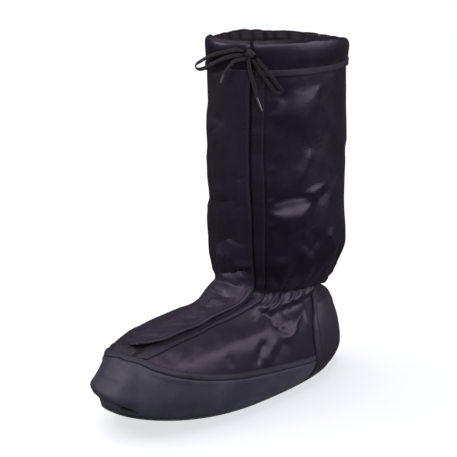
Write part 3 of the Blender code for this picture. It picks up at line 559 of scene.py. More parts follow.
def satin_nylon(name, dark=NYLON_DARK, light=NYLON_LIGHT, rough_range=NYLON_ROUGH, spec=NYLON_SPEC):
    n = Nodes(name)
    uv = n.coords("UV")
    obj = n.coords("Object")
    wide = n.noise(obj, 14.0, 3.0)
    slub = n.noise(n.coords("UV", (260.0, 26.0, 1.0)), 1.0, 2.0)
    tone = n.math("ADD", n.math("MULTIPLY", wide, 0.75), n.math("MULTIPLY", slub, 0.25))
    colour = n.ramp(tone, ((0.30, dark), (0.70, light)))
    rough = n.range(n.noise(obj, 40.0, 3.0), 0.3, 0.7, rough_range[0], rough_range[1])
    # painted light: below about 0.12 m the colour is lighter, a painted sheen over the foot, and the cloth rougher
    parted = n.add("ShaderNodeSeparateXYZ")
    n.link(obj, parted.inputs[0])
    foot = n.range(parted.outputs["Z"], 0.112, 0.132, 1.0, 0.0)
    colour = n.mix(n.math("MULTIPLY", foot, 0.34), colour, (0.0125, 0.0098, 0.0150))
    rough = n.math("ADD", rough, n.math("MULTIPLY", foot, 0.07))
    n.bump(n.noise(obj, 95.0, 4.0, 0.5), 0.42, 0.0007)
    n.bump(n.noise(obj, 330.0, 3.0, 0.5), 0.25, 0.00018)
    warp = n.wave(uv, 520.0, "X")
    weft = n.wave(uv, 640.0, "Y")
    n.bump(n.math("MULTIPLY", warp, weft), 0.14, 0.00004)
    n.set(Sheen_Weight=NYLON_SHEEN, Sheen_Roughness=0.38, Sheen_Tint=(0.86, 0.76, 1.0), Specular_IOR_Level=spec, IOR=1.5,
          Specular_Tint=(0.93, 0.86, 1.0), Anisotropic=0.25)
    tangent = n.add("ShaderNodeTangent", direction_type="UV_MAP", uv_map="UVMap")
    n.link(tangent.outputs["Tangent"], n.bsdf.inputs["Tangent"])
    return n.done(colour, rough, True)


def coated_fabric(name, tone_by=1.0):
    n = Nodes(name)
    obj = n.coords("Object")
    uv = n.coords("UV")
    patch = n.noise(obj, 24.0, 4.0, 0.6)
    speck = n.noise(obj, 420.0, 2.0)
    tone = n.math("ADD", n.math("MULTIPLY", patch, 0.8), n.math("MULTIPLY", speck, 0.2))
    colour = n.ramp(tone, [(at, (col[0] * tone_by, col[1] * tone_by * 0.92, col[2] * tone_by * 0.88) if tone_by < 0.9 else col) for at, col in ((0.30, COAT_DARK), (0.52, COAT_MID), (0.72, COAT_LIGHT))])
    scuff = n.noise(n.coords("UV", (90.0, 700.0, 1.0), 0.35), 1.0, 3.0, 0.6)
    marks = n.range(scuff, 0.66, 0.78, 0.0, 0.35)
    colour = n.mix(marks, colour, (0.085, 0.088, 0.100))
    rough = n.range(n.noise(obj, 60.0, 4.0), 0.3, 0.7, COAT_ROUGH[0], COAT_ROUGH[1])
    n.bump(n.noise(obj, 42.0, 4.0, 0.55), 0.35, 0.0011)
    n.bump(n.noise(obj, 170.0, 3.0, 0.5), 0.30, 0.00028)
    n.bump(n.noise(obj, 1500.0, 2.0, 0.6), 0.22, 0.00007)
    n.set(Specular_IOR_Level=0.15 if tone_by > 0.9 else 0.09, Coat_Weight=0.0, Coat_Roughness=0.35, Sheen_Weight=0.03, Sheen_Roughness=0.5, Sheen_Tint=(0.8, 0.88, 1.0))
    return n.done(colour, rough, True)


def woven_strip(name, dark=STRIP_DARK, light=STRIP_LIGHT):
    n = Nodes(name)
    uv = n.coords("UV")
    obj = n.coords("Object")
    tone = n.noise(obj, 30.0, 3.0)
    colour = n.ramp(tone, ((0.32, dark), (0.70, light)))
    ribs = n.wave(uv, 420.0, "DIAGONAL")
    cross = n.wave(uv, 900.0, "Y")
    n.bump(n.math("ADD", ribs, n.math("MULTIPLY", cross, 0.5)), 0.30, 0.00012)
    n.bump(n.noise(obj, 130.0, 3.0), 0.35, 0.0005)
    rough = n.range(n.noise(obj, 80.0, 3.0), 0.3, 0.7, 0.52, 0.68)
    n.set(Sheen_Weight=0.02, Sheen_Roughness=0.45, Sheen_Tint=(0.84, 0.78, 1.0), Specular_IOR_Level=0.15)
    return n.done(colour, rough, True)


def braided_lace(name):
    n = Nodes(name)
    uv = n.coords("UV")
    obj = n.coords("Object")
    colour = n.ramp(n.noise(uv, 900.0, 3.0), ((0.30, LACE_DARK), (0.72, LACE_LIGHT)))
    one = n.wave(n.coords("UV", turn=0.72), 560.0, "X")
    two = n.wave(n.coords("UV", turn=-0.72), 560.0, "X")
    n.bump(n.math("MAXIMUM", one, two), 0.65, 0.00025)
    rough = n.range(n.noise(obj, 300.0, 2.0), 0.3, 0.7, 0.70, 0.85)
    n.set(Sheen_Weight=0.03, Sheen_Roughness=0.5, Sheen_Tint=(0.85, 0.80, 0.95), Specular_IOR_Level=0.14)
    return n.done(colour, rough)


def fleece(name):
    n = Nodes(name)
    obj = n.coords("Object")
    colour = n.ramp(n.noise(obj, 260.0, 4.0, 0.65), ((0.32, (0.012, 0.011, 0.012)), (0.68, (0.026, 0.024, 0.025))))
    n.bump(n.noise(obj, 420.0, 4.0, 0.7), 0.85, 0.0011)
    n.bump(n.noise(obj, 60.0, 3.0), 0.5, 0.0016)
    rough = n.range(n.noise(obj, 200.0, 2.0), 0.3, 0.7, 0.86, 0.98)
    n.set(Sheen_Weight=0.5, Sheen_Roughness=0.6, Sheen_Tint=(0.9, 0.86, 0.9), Specular_IOR_Level=0.2)
    return n.done(colour, rough)


def moulded_sole(name):
    n = Nodes(name)
    obj = n.coords("Object")
    colour = n.ramp(n.noise(obj, 70.0, 4.0, 0.6), ((0.3, (0.008, 0.008, 0.009)), (0.7, (0.022, 0.022, 0.025))))
    n.bump(n.wave(n.coords("Object", (1.0, 1.0, 1.0), 0.6), 160.0, "X"), 0.35, 0.0004)
    n.bump(n.noise(obj, 900.0, 3.0), 0.35, 0.00012)
    rough = n.range(n.noise(obj, 90.0, 3.0), 0.3, 0.7, 0.55, 0.78)
    n.set(Specular_IOR_Level=0.4)
    return n.done(colour, rough)


def thread(name):
    n = Nodes(name)
    obj = n.coords("Object")
    colour = n.ramp(n.noise(obj, 900.0, 2.0), ((0.3, (0.0030, 0.0024, 0.0036)), (0.7, (0.0070, 0.0056, 0.0082))))
    n.bump(n.wave(n.coords("UV", turn=0.6), 1400.0, "X"), 0.5, 0.00008)
    rough = n.range(n.noise(obj, 500.0, 2.0), 0.3, 0.7, 0.5, 0.65)
    n.set(Sheen_Weight=0.01, Sheen_Roughness=0.4, Specular_IOR_Level=0.12)
    return n.done(colour, rough)


def lace_tip(name):
    n = Nodes(name)
    obj = n.coords("Object")
    colour = n.ramp(n.noise(obj, 600.0, 2.0), ((0.3, (0.026, 0.025, 0.028)), (0.7, (0.055, 0.053, 0.057))))
    n.bump(n.noise(obj, 900.0, 2.0), 0.2, 0.0001)
    rough = n.range(n.noise(obj, 400.0, 2.0), 0.3, 0.7, 0.22, 0.36)
    n.set(Coat_Weight=0.25, Coat_Roughness=0.2, Specular_IOR_Level=0.4)
    return n.done(colour, rough)


CLOTH = satin_nylon("nylon_satin")
# the flap's nylon is a lighter copy of the same nylon: painted light on the front
CLOTH_FLAP_LIT = satin_nylon("nylon_flap_painted_light", (0.0052, 0.0035, 0.0064), (0.0098, 0.0069, 0.0116), (0.38, 0.47))
CLOTH_IN = satin_nylon("nylon_back", (0.0038, 0.0026, 0.0034), (0.0078, 0.0056, 0.0070), (0.52, 0.62), 0.10)
COATING = coated_fabric("coated_cloth")
# the heel counter's coated fabric is a darker copy of the rand's: painted shade on the back of the heel
COATING_HEEL_SHADED = satin_nylon("coated_cloth_heel_painted_shade", (0.0056, 0.0048, 0.0066), (0.0112, 0.0096, 0.0128), (0.44, 0.54))
STRIP = satin_nylon("nylon_strip", (0.0026, 0.0018, 0.0034), (0.0050, 0.0036, 0.0064), (0.44, 0.54))
BINDING = woven_strip("woven_binding", BIND_DARK, BIND_LIGHT)
LACE = braided_lace("flat_lace")
FLEECE = fleece("lining_pile")
SOLE_MAT = moulded_sole("moulded_sole")
THREAD = thread("sewing_thread")
TIP_MAT = lace_tip("lace_tip")


# ---- camera: where the photograph was taken from, turned to the one boot ----
cam_data = bpy.data.cameras.new("camera")
cam = bpy.data.objects.new("camera", cam_data)
bpy.context.scene.collection.objects.link(cam)
cam.location = CAM_AT
cam.rotation_mode = "QUATERNION"
cam.rotation_quaternion = (Vector(CAM_TO) - Vector(CAM_AT)).to_track_quat("-Z", "Y")
cam_data.lens = CAM_LENS
cam_data.sensor_width = 36.0
cam_data.clip_start, cam_data.clip_end = 0.05, 30.0
bpy.context.scene.camera = cam


# ---- even grid over the upper: rows by length along the surface, columns by share of the girth ----
FINE_V = np.linspace(0.0, TOP, 1201)
mean_p = np.stack([S.sample(S.P, np.full(1201, k / 24 - 0.5), FINE_V) for k in range(24)])
step = np.linalg.norm(np.diff(mean_p, axis=1), axis=2).mean(axis=0)
LENGTH_V = np.concatenate([[0.0], np.cumsum(step)])
HEIGHT = LENGTH_V[-1]
DW = 0.5
NR = int(round(HEIGHT / DW)) + 1
NC = 1080
ROW_W = np.linspace(0, HEIGHT, NR)
ROW_V = np.interp(ROW_W, LENGTH_V, FINE_V)
COL_U = np.arange(NC) / NC - 0.5
GRID_UU, GRID_VV = np.meshgrid(COL_U, ROW_V)
BASE = S.at(GRID_UU, GRID_VV)
BASE_N = S.sample(S.N, GRID_UU, GRID_VV)
BASE_N /= np.linalg.norm(BASE_N, axis=2, keepdims=True)
HALF_LAT, HALF_MED = S.girth(ROW_V, 1), S.girth(ROW_V, -1)
ARC = np.where(GRID_UU >= 0, GRID_UU * 2 * HALF_LAT[:, None], GRID_UU * 2 * HALF_MED[:, None])


def w_of(v):
    return np.interp(v, FINE_V, LENGTH_V)


def v_of(w):
    return np.interp(w, LENGTH_V, FINE_V)


def basis(n, count, wrap):
    """Cubic B-spline weights that spread `count` knots over n samples."""
    x = np.arange(n) / (n if wrap else n - 1) * (count if wrap else count - 3)
    i = np.floor(x).astype(int)
    if not wrap:
        i = np.minimum(i, count - 4)
    t = x - i
    weights = ((1 - t) ** 3 / 6, (3 * t**3 - 6 * t**2 + 4) / 6, (-3 * t**3 + 3 * t**2 + 3 * t + 1) / 6, t**3 / 6)
    out = np.zeros((n, count))
    for k, weight in enumerate(weights):
        np.add.at(out, (np.arange(n), (i + k) % count), weight)
    return out


def noise(mm_up, mm_round, seed, nr=None, nc=None, tall=None, wide=420.0):
    """Smooth random field over the grid, about -1 to 1, of one cell size up and round the boot."""
    nr, nc = nr or NR, nc or NC
    rows = max(5, int(round((tall or HEIGHT) / mm_up)) + 3)
    cols = max(4, int(round(wide / mm_round)))
    knots = np.random.default_rng(seed).uniform(-1, 1, (rows, cols))
    return 1.7 * basis(nr, rows, False) @ knots @ basis(nc, cols, True).T


def blur(field, up, around):
    """Gaussian blur, sizes in cells; the columns wrap."""
    pad = int(4 * up) + 2
    f = np.concatenate([field[pad:0:-1], field, field[-2:-pad - 2:-1]], axis=0)
    fr, fc = np.fft.fftfreq(f.shape[0])[:, None], np.fft.fftfreq(f.shape[1])[None, :]
    gain = np.exp(-2 * math.pi ** 2 * ((up * fr) ** 2 + (around * fc) ** 2))
    return np.real(np.fft.ifft2(np.fft.fft2(f) * gain))[pad:pad + field.shape[0]]


def soft(x, a, b):
    t = np.clip((x - a) / (b - a), 0, 1)
    return t * t * (3 - 2 * t)


def dense(points, step_mm):
    """Curve through (arc, v) points, evenly spaced on the surface: arc, v and the points."""
    pts = np.asarray(points, float)
    fine = smooth_rows(pts, np.linspace(0, len(pts) - 1, 24 * len(pts)))
    q = S.at(S.u_of(fine[:, 0], fine[:, 1]), fine[:, 1])
    run = np.concatenate([[0.0], np.cumsum(np.linalg.norm(np.diff(q, axis=0), axis=1))])
    n = max(3, int(round(run[-1] / step_mm)) + 1)
    want = np.linspace(0, run[-1], n)
    arc, v = np.interp(want, run, fine[:, 0]), np.interp(want, run, fine[:, 1])
    return arc, v, S.at(S.u_of(arc, v), v), run[-1]


def fold(field, points, depth, low, high=None, ends=0.30, power=2.0):
    """Adds a soft trough (depth < 0) or ridge (depth > 0) along (arc, v) points. low and high are
    its half widths in mm on its lower (right-hand) and upper (left-hand) side."""
    high = low if high is None else high
    arc, v, q, length = dense(points, 1.2)
    reach = 2.4 * max(low, high)
    u = S.u_of(arc, v)
    w = w_of(v)
    r0, r1 = int(max(0, (w.min() - reach) / DW)), int(min(NR, (w.max() + reach) / DW + 2))
    mid_v = v.mean()
    girth = min(float(S.girth(mid_v, 1)), float(S.girth(mid_v, -1))) * 2 * 0.86
    c0, c1 = int(math.floor((u.min() + 0.5) * NC - reach / girth * NC)), int(math.ceil((u.max() + 0.5) * NC + reach / girth * NC))
    cols = np.arange(c0, min(c1 + 1, c0 + NC)) % NC
    sub = BASE[r0:r1][:, cols]
    shape = sub.shape[:2]
    p = sub.reshape(-1, 3)
    best = np.full(len(p), 1e18)
    near = np.zeros(len(p), int)
    for k in range(len(q)):
        d = ((p - q[k]) ** 2).sum(axis=1)
        closer = d < best
        best[closer] = d[closer]
        near[closer] = k
    dist = np.sqrt(best)
    tangent = np.gradient(q, axis=0)
    normal = BASE_N[r0:r1][:, cols].reshape(-1, 3)
    side = np.einsum("ij,ij->i", np.cross(tangent[near], p - q[near]), normal)
    width = np.where(side > 0, high, low)
    t = near / (len(q) - 1)
    taper = soft(t, -0.02, ends) * soft(1 - t, -0.02, ends) if ends > 0 else np.ones_like(t)
    add = depth * np.exp(-(dist / width) ** power) * taper
    block = add.reshape(shape)
    for r in range(shape[0]):
        field[r0 + r, cols] += block[r]


def ledge(field, points, half, slope, tail=2.3):
    """Adds a ledge along (arc, v) points: it stands out downwards over a lens-shaped strip that
    is 2 * half wide at its middle, and falls back softly under it."""
    arc, v, q, length = dense(points, 1.0)
    reach = half * 6.0
    u = S.u_of(arc, v)
    w = w_of(v)
    r0, r1 = int(max(0, (w.min() - reach) / DW)), int(min(NR, (w.max() + reach) / DW + 2))
    girth = min(float(S.girth(v.mean(), 1)), float(S.girth(v.mean(), -1))) * 2 * 0.86
    c0, c1 = int(math.floor((u.min() + 0.5) * NC - reach / girth * NC)), int(math.ceil((u.max() + 0.5) * NC + reach / girth * NC))
    cols = np.arange(c0, min(c1 + 1, c0 + NC)) % NC
    sub = BASE[r0:r1][:, cols]
    p = sub.reshape(-1, 3)
    best, near = np.full(len(p), 1e18), np.zeros(len(p), int)
    for k in range(len(q)):
        d = ((p - q[k]) ** 2).sum(axis=1)
        closer = d < best
        best[closer] = d[closer]
        near[closer] = k
    tangent = np.gradient(q, axis=0)
    normal = BASE_N[r0:r1][:, cols].reshape(-1, 3)
    side = np.sign(np.einsum("ij,ij->i", np.cross(tangent[near], p - q[near]), normal))
    t = near / (len(q) - 1)
    size = half * np.maximum(np.sin(math.pi * np.clip(t, 0, 1)), 0) ** 1.15
    # past the ends only the distance along the strip counts
    along = np.sqrt(best) * np.where((near == 0) | (near == len(q) - 1), 1.0, 0.0)
    x = side * np.sqrt(best) / np.maximum(size, 0.6)
    rise = np.clip((1 - x) / 2, 0, 1)
    g = np.where(x > -1, 2 * rise * rise * (3 - 2 * rise), 2 * np.exp(-((-1 - x) / tail) ** 2))
    add = (slope * size * g * np.exp(-(along / 3.0) ** 2)).reshape(sub.shape[:2])
    for r in range(add.shape[0]):
        field[r0 + r, cols] += add[r]


# ---- shape of the cloth: listed folds, gathers, slack ----
D = np.zeros((NR, NC))
for points, depth, *rest in FOLDS:
    low, high = rest[0], rest[1] if len(rest) > 1 else rest[0]
    fold(D, points, depth * FOLD_GAIN, low, high, 0.30, 1.75 if depth > 0 else 1.35)
for points, half, slope in LEDGES:
    ledge(D, points, half, slope)
# short slack creases, sharper than the main folds
rng = np.random.default_rng(77)
for k in range(110):
    low_part = k % 3 == 0
    v0 = rng.uniform(3.4, 6.0) if low_part else rng.uniform(7.2, 11.5)
    side = rng.choice((-1, 1))
    if low_part:
        side = -1
    a0 = side * rng.uniform(44, 230 if low_part else 180)
    if k % 5 == 0:
        a0 = rng.uniform(-18, 22)
    lean_ = rng.uniform(-1, 1)
    long_ = rng.uniform(9, 22)
    rise_ = rng.uniform(-0.5, 0.5) * long_ / (26.0 if low_part else 60.0)
    pts_ = ((a0 - long_ / 2, v0 - rise_), (a0, v0 + 0.10 * lean_ * long_ / 20), (a0 + long_ / 2, v0 + rise_))
    fold(D, pts_, rng.choice((-1, 1)) * rng.uniform(0.25, 0.7), rng.uniform(1.8, 3.0), rng.uniform(2.5, 5.0), 0.45, 1.3)

# elastic at the ankle: height row by share of the half girth
share = np.abs(COL_U) * 2
elastic_v = np.where(COL_U >= 0, np.interp(share, ELASTIC[0], ELASTIC[1]), np.interp(share, ELASTIC[0], ELASTIC[2]))
wobble = noise(400, 16, 5)[0] * 1.3
elastic_w = w_of(elastic_v) + wobble
above = ROW_W[:, None] - elastic_w[None, :]
# the flap isn't gathered
free = soft(ARC, 36.0, 50.0) + soft(-ARC, 24.0, 32.0)
front_free = soft(ARC, 26.0, 40.0) + soft(-ARC, 20.0, 28.0)
run = COL_U * 372.0
jitter = np.random.default_rng(11).uniform(-1, 1, 64)
slow = 1.7 * basis(NC, 64, True) @ jitter
rate = (1 + 0.30 * slow) / 6.6
phase = np.cumsum(rate) * 372.0 / NC
phase *= round(phase[-1] / 4) * 4 / phase[-1]
lean = noise(30, 40, 21) * 0.16
ph = phase[None, :] + lean
pleat_size = 1.0 + 0.45 * noise(26, 9, 31)
pinch = lambda x: 1.0 - 2.0 * np.abs(np.sin(x)) ** 0.75
fine = -pinch(math.pi * ph)
middle_ = np.cos(math.pi * ph + 0.8)
coarse = np.cos(0.5 * math.pi * ph + 1.9)
up, down = np.maximum(above, 0), np.maximum(-above, 0)
fall = lambda a, b: np.where(above > 0, np.exp(-(up / a) ** 1.3), np.exp(-(down / b) ** 1.3))
gather = (0.85 * fine * pleat_size * fall(7.0, 7.5)
          + 1.35 * middle_ * (1 + 0.4 * noise(30, 14, 33)) * fall(15.0, 13.0)
          + 1.45 * coarse * (1 + 0.5 * noise(40, 30, 34)) * (fall(32.0, 24.0) - 0.5 * fall(5.0, 5.0)))
D += gather * free
D += front_free * (-3.4 * np.exp(-(above / 5.5) ** 2) + 0.2 * np.exp(-((above - 20) / 12) ** 2)
                   + 1.7 * np.exp(-((above + 16) / 9.5) ** 2))
D -= free * 1.5 * np.exp(-(above / 1.6) ** 2) * (1 + 0.5 * np.sin(2 * math.pi * ph + 1.0))

# slack of the cloth
crumple = noise(34, 42, 41) * 0.55 + noise(15, 17, 42) * 0.26 + noise(6.5, 7.5, 43) * 0.085
ridged = 1 - np.abs(noise(30, 26, 44))
crumple += 0.55 * (ridged ** 3 - 0.3)
calm = 1 - 0.55 * soft(ROW_V, 11.2, 11.7)[:, None]
broad = np.exp(-((ARC - 95) / 60) ** 2 - ((GRID_VV - 3.9) / 0.95) ** 2)
broad = np.maximum(broad, 0.9 * np.exp(-((ARC - 80) / 42) ** 2 - ((GRID_VV - 10.2) / 0.30) ** 2))
broad = np.maximum(broad, 0.7 * np.exp(-((ARC - 80) / 50) ** 2 - ((GRID_VV - 11.4) / 0.35) ** 2))
D += crumple * calm * (0.65 + 0.35 * soft(ROW_V, 2.2, 3.4)[:, None]) * (1 - 0.72 * broad)
# foot of the flap: short cross wrinkles
on_flap = soft(ARC, -27, -18) * (1 - soft(ARC, 24, 32))
foot_zone = soft(GRID_VV, 4.0, 4.6) * (1 - soft(GRID_VV, 7.2, 8.3))
cross = noise(5.5, 22, 51) * 0.75 + noise(9.0, 30, 52) * 0.7
D += 1.3 * on_flap * foot_zone * cross
# small puckers along the tape and under the casing seam
tape_mid = (front_edge(ROW_V, 1) + front_edge(ROW_V, 2))[:, None] / 2
on_tape = np.exp(-((ARC - tape_mid) / 6.5) ** 2)
near_ankle = np.exp(-((GRID_VV - 7.5) / 0.8) ** 2)
D += on_tape * (noise(6.0, 10, 61) * 0.45 + noise(13.0, 16, 62) * 0.5) * (1 - 0.5 * soft(GRID_VV, 8.0, 9.0) + 0.9 * near_ankle)
under_casing = HEIGHT - 29.0 - ROW_W[:, None]
D += 0.42 * noise(60, 6.5, 63) * np.exp(-np.maximum(under_casing, 0) / 16.0) * np.exp(-np.maximum(-under_casing, 0) / 3.0) * free
# hollow under the free edge of the flap, over the foot
D -= 2.4 * np.exp(-((ARC - front_edge(ROW_V, 1)[:, None] - 2.5) / 4.6) ** 2) * soft(GRID_VV, 3.9, 4.5) * (1 - soft(GRID_VV, 6.6, 8.2))
# shadow gap beside the free edge, up the shaft
D -= 2.6 * np.exp(-((ARC - front_edge(ROW_V, 1)[:, None] - 1.4) / 2.3) ** 2) * soft(GRID_VV, 6.6, 8.0)
# scalloped outline of the front inner side
scallop = np.interp(GRID_VV, SCALLOP[0], SCALLOP[1])
D += scallop * np.exp(-((ARC + 52) / 34) ** 2)
# seams: outer edge of the tape, back panel on both sides; their dark lines go into a grid that also takes painted shade
SEAMS_AND_SHADE = np.zeros((NR, NC))


def seam(points, depth=0.75, width=1.3):
    fold(D, points, -depth, width, width, 0.02, 2.0)
    fold(SEAMS_AND_SHADE, points, 0.85, 0.9, 0.9, 0.02, 2.0)
    fold(D, points, 0.30, 6.0, 6.0, 0.02, 2.0)


seam([(front_edge(np.array([v]), 2)[0] + 0.6, v) for v in np.arange(3.6, 11.75, 0.4)], 0.9, 1.0)
seam(GUSSET_MED)
seam(GUSSET_LAT)
# painted shade: darker along the elastic's groove and in the troughs of the gathers
SEAMS_AND_SHADE += 0.75 * free * np.exp(-(above / 1.7) ** 2) + 0.75 * free * np.clip(-gather / 2.4, 0, 1) * np.exp(-((above - 4) / 13.0) ** 2)
# painted shadow: a dark line on the cloth just above the rand's top edge
rim_w = w_of(rand_top(COL_U))[None, :]
SEAMS_AND_SHADE += 0.75 * np.exp(-((ROW_W[:, None] - rim_w - 0.5) / 0.8) ** 2)
SEAMS_AND_SHADE = np.clip(SEAMS_AND_SHADE, 0, 1)
# outline
for arc0, v0, r_arc, r_w, amount in BODY_SHIFTS:
    gap = np.abs(ARC - arc0)
    total = (HALF_LAT + HALF_MED)[:, None]
    gap = np.minimum(gap, np.abs(gap - total))
    D += amount * np.exp(-(gap / r_arc) ** 2 - ((GRID_VV - v0) / r_w) ** 2)
line_v = np.array([k[0] for k in BACK_LINE])
line_arc = np.interp(ROW_V, line_v, [k[1] for k in BACK_LINE])
line_d = np.interp(ROW_V, line_v, [k[2] for k in BACK_LINE])
calm_d = blur(D, 5, 22)
now_d = np.array([calm_d[i, int((0.5 * line_arc[i] / HALF_LAT[i] + 0.5) * NC) % NC] for i in range(NR)])
reach_v = soft(ROW_V, 4.2, 4.7) * (1 - soft(ROW_V, 9.0, 10.2))
fix = (line_d - now_d) * reach_v
gap = ARC - line_arc[:, None]
gap = np.where(gap < -200, gap + (HALF_LAT + HALF_MED)[:, None], gap)
D += fix[:, None] * np.where(gap > 0, np.exp(-(gap / 60.0) ** 2), np.exp(-(gap / 42.0) ** 2))
D = np.clip(D, -10.6, 8.5)
D *= soft(ROW_W, -1.0, 6.0)[:, None]

# rand: fold over the toe, soft bumps
RAND_D = np.zeros((NR, NC))
for row in RAND_FOLDS:
    fold(RAND_D, *row)
RAND_D += noise(22, 36, 71) * 0.40 + noise(11, 13, 72) * 0.12
calm_d = blur(RAND_D, 4, 10)
col_t = int(np.argmin(np.abs(COL_U + 0.5 * 30.0 / float(S.girth(2.0, -1)))))
want_d = np.interp(ROW_V, [k[0] for k in TOE_LINE], [k[1] for k in TOE_LINE])
fix = (want_d - calm_d[:, col_t]) * (1 - soft(ROW_V, 3.3, 3.9))
RAND_D += fix[:, None] * np.exp(-(np.abs(ARC + 32.0) / 36.0) ** 2.4)
# painted shade along the fold lines under the toe
RAND_CREASE_SHADE = np.zeros((NR, NC))
for points in RAND_LINES:
    fold(RAND_CREASE_SHADE, points, 1.8, 1.2, 0.9, 0.10, 2.0)
RAND_D *= soft(ROW_W, 0.0, 9.0)[:, None]
top_v = rand_top(COL_U)
rand_mask = 1 - soft(GRID_VV, top_v[None, :] - 0.45, top_v[None, :] + 0.05)
D = D * (1 - 0.8 * rand_mask) + RAND_D * rand_mask

SHAPE = BASE + BASE_N * D[..., None]
wrapped = np.concatenate([SHAPE[:, -1:], SHAPE, SHAPE[:, :1]], axis=1)
SHAPE_N = np.cross(wrapped[:, 2:] - wrapped[:, :-2], np.gradient(SHAPE, axis=0))
SHAPE_N /= np.linalg.norm(SHAPE_N, axis=2, keepdims=True)
SMOOTH_N = np.stack([blur(SHAPE_N[..., k], 2.5, 2.5) for k in range(3)], -1)
SMOOTH_N /= np.linalg.norm(SMOOTH_N, axis=2, keepdims=True)
# lining side: below the deepest point near by
LOW_D = D.copy()
for shift in (1, 2, 4):
    LOW_D = np.minimum(LOW_D, np.minimum(np.roll(LOW_D, shift, 1), np.roll(LOW_D, -shift, 1)))
    LOW_D[shift:] = np.minimum(LOW_D[shift:], LOW_D[:-shift])
    LOW_D[:-shift] = np.minimum(LOW_D[:-shift], LOW_D[shift:])
LOW_D = blur(LOW_D, 6, 6) - 0.2


def grid_at(field, u, v):
    """Bilinear value of a grid field at shares u and rows v."""
    x = np.mod(np.asarray(u, float) + 0.5, 1.0) * NC
    y = np.clip(w_of(v) / DW, 0, NR - 1.001)
    i, j = np.floor(y).astype(int), np.floor(x).astype(int)
    a, b = y - i, x - j
    j0, j1 = j % NC, (j + 1) % NC
    if field.ndim == 3:
        a, b = a[..., None], b[..., None]
    return ((field[i, j0] * (1 - b) + field[i, j1] * b) * (1 - a)
            + (field[i + 1, j0] * (1 - b) + field[i + 1, j1] * b) * a)


def cloth(u, v, off=0.0):
    """Point on the folded cloth, off millimetres out of it."""
    n = grid_at(SMOOTH_N, u, v)
    n = n / np.linalg.norm(n, axis=-1, keepdims=True)
    p = grid_at(SHAPE, u, v)
    # above the last row the last row's point is used
    return p + n * np.asarray(off, float)[..., None]


def cloth_inner(u, v, off):
    n = grid_at(BASE_N, u, v)
    n = n / np.linalg.norm(n, axis=-1, keepdims=True)
    return grid_at(BASE, u, v) + n * (grid_at(LOW_D, u, v) + off)[..., None]


# ---- mesh making ----
made = {}


def new_piece(name, points, faces, mats, uv=None, sharp=None, index=None, shade=None):
    mesh = bpy.data.meshes.new(name)
    mesh.from_pydata((np.asarray(points) * MM).tolist(), [], faces)
    for m in (mats if isinstance(mats, (list, tuple)) else [mats]):
        mesh.materials.append(m)
    if index is not None:
        mesh.polygons.foreach_set("material_index", np.asarray(index, np.int32))
    layer = mesh.uv_layers.new(name="UVMap")
    loops = np.zeros(len(mesh.loops), np.int32)
    mesh.loops.foreach_get("vertex_index", loops)
    if uv is None:
        uv = np.asarray(points)[:, :2]
    luv = np.asarray(uv, float)[loops]
    starts = np.zeros(len(mesh.polygons), np.int32)
    totals = np.zeros(len(mesh.polygons), np.int32)
    mesh.polygons.foreach_get("loop_start", starts)
    mesh.polygons.foreach_get("loop_total", totals)
    lo_x, hi_x = np.minimum.reduceat(luv[:, 0], starts), np.maximum.reduceat(luv[:, 0], starts)
    owner = np.repeat(np.arange(len(starts)), totals)
    gap = (hi_x - lo_x)[owner]
    luv[:, 0] += np.where((gap > 150) & (luv[:, 0] < (lo_x + hi_x)[owner] / 2), gap + 0.9, 0.0)
    layer.data.foreach_set("uv", (luv * MM).astype(np.float32).ravel())
    mark = mesh.attributes.new("shade", "FLOAT", "POINT")
    if shade is not None:
        values = np.zeros(len(mesh.vertices), np.float32)
        values[:len(shade)] = shade
        mark.data.foreach_set("value", values)
    mesh.polygons.foreach_set("use_smooth", np.ones(len(mesh.polygons), bool))
    work = bmesh.new()
    work.from_mesh(mesh)
    bmesh.ops.recalc_face_normals(work, faces=work.faces)
    work.to_mesh(mesh)
    work.free()
    if sharp:
        mesh.set_sharp_from_angle(angle=math.radians(sharp))
    mesh.validate()
    obj = bpy.data.objects.new(name, mesh)
    bpy.context.scene.collection.objects.link(obj)
    made[name] = obj
    return obj


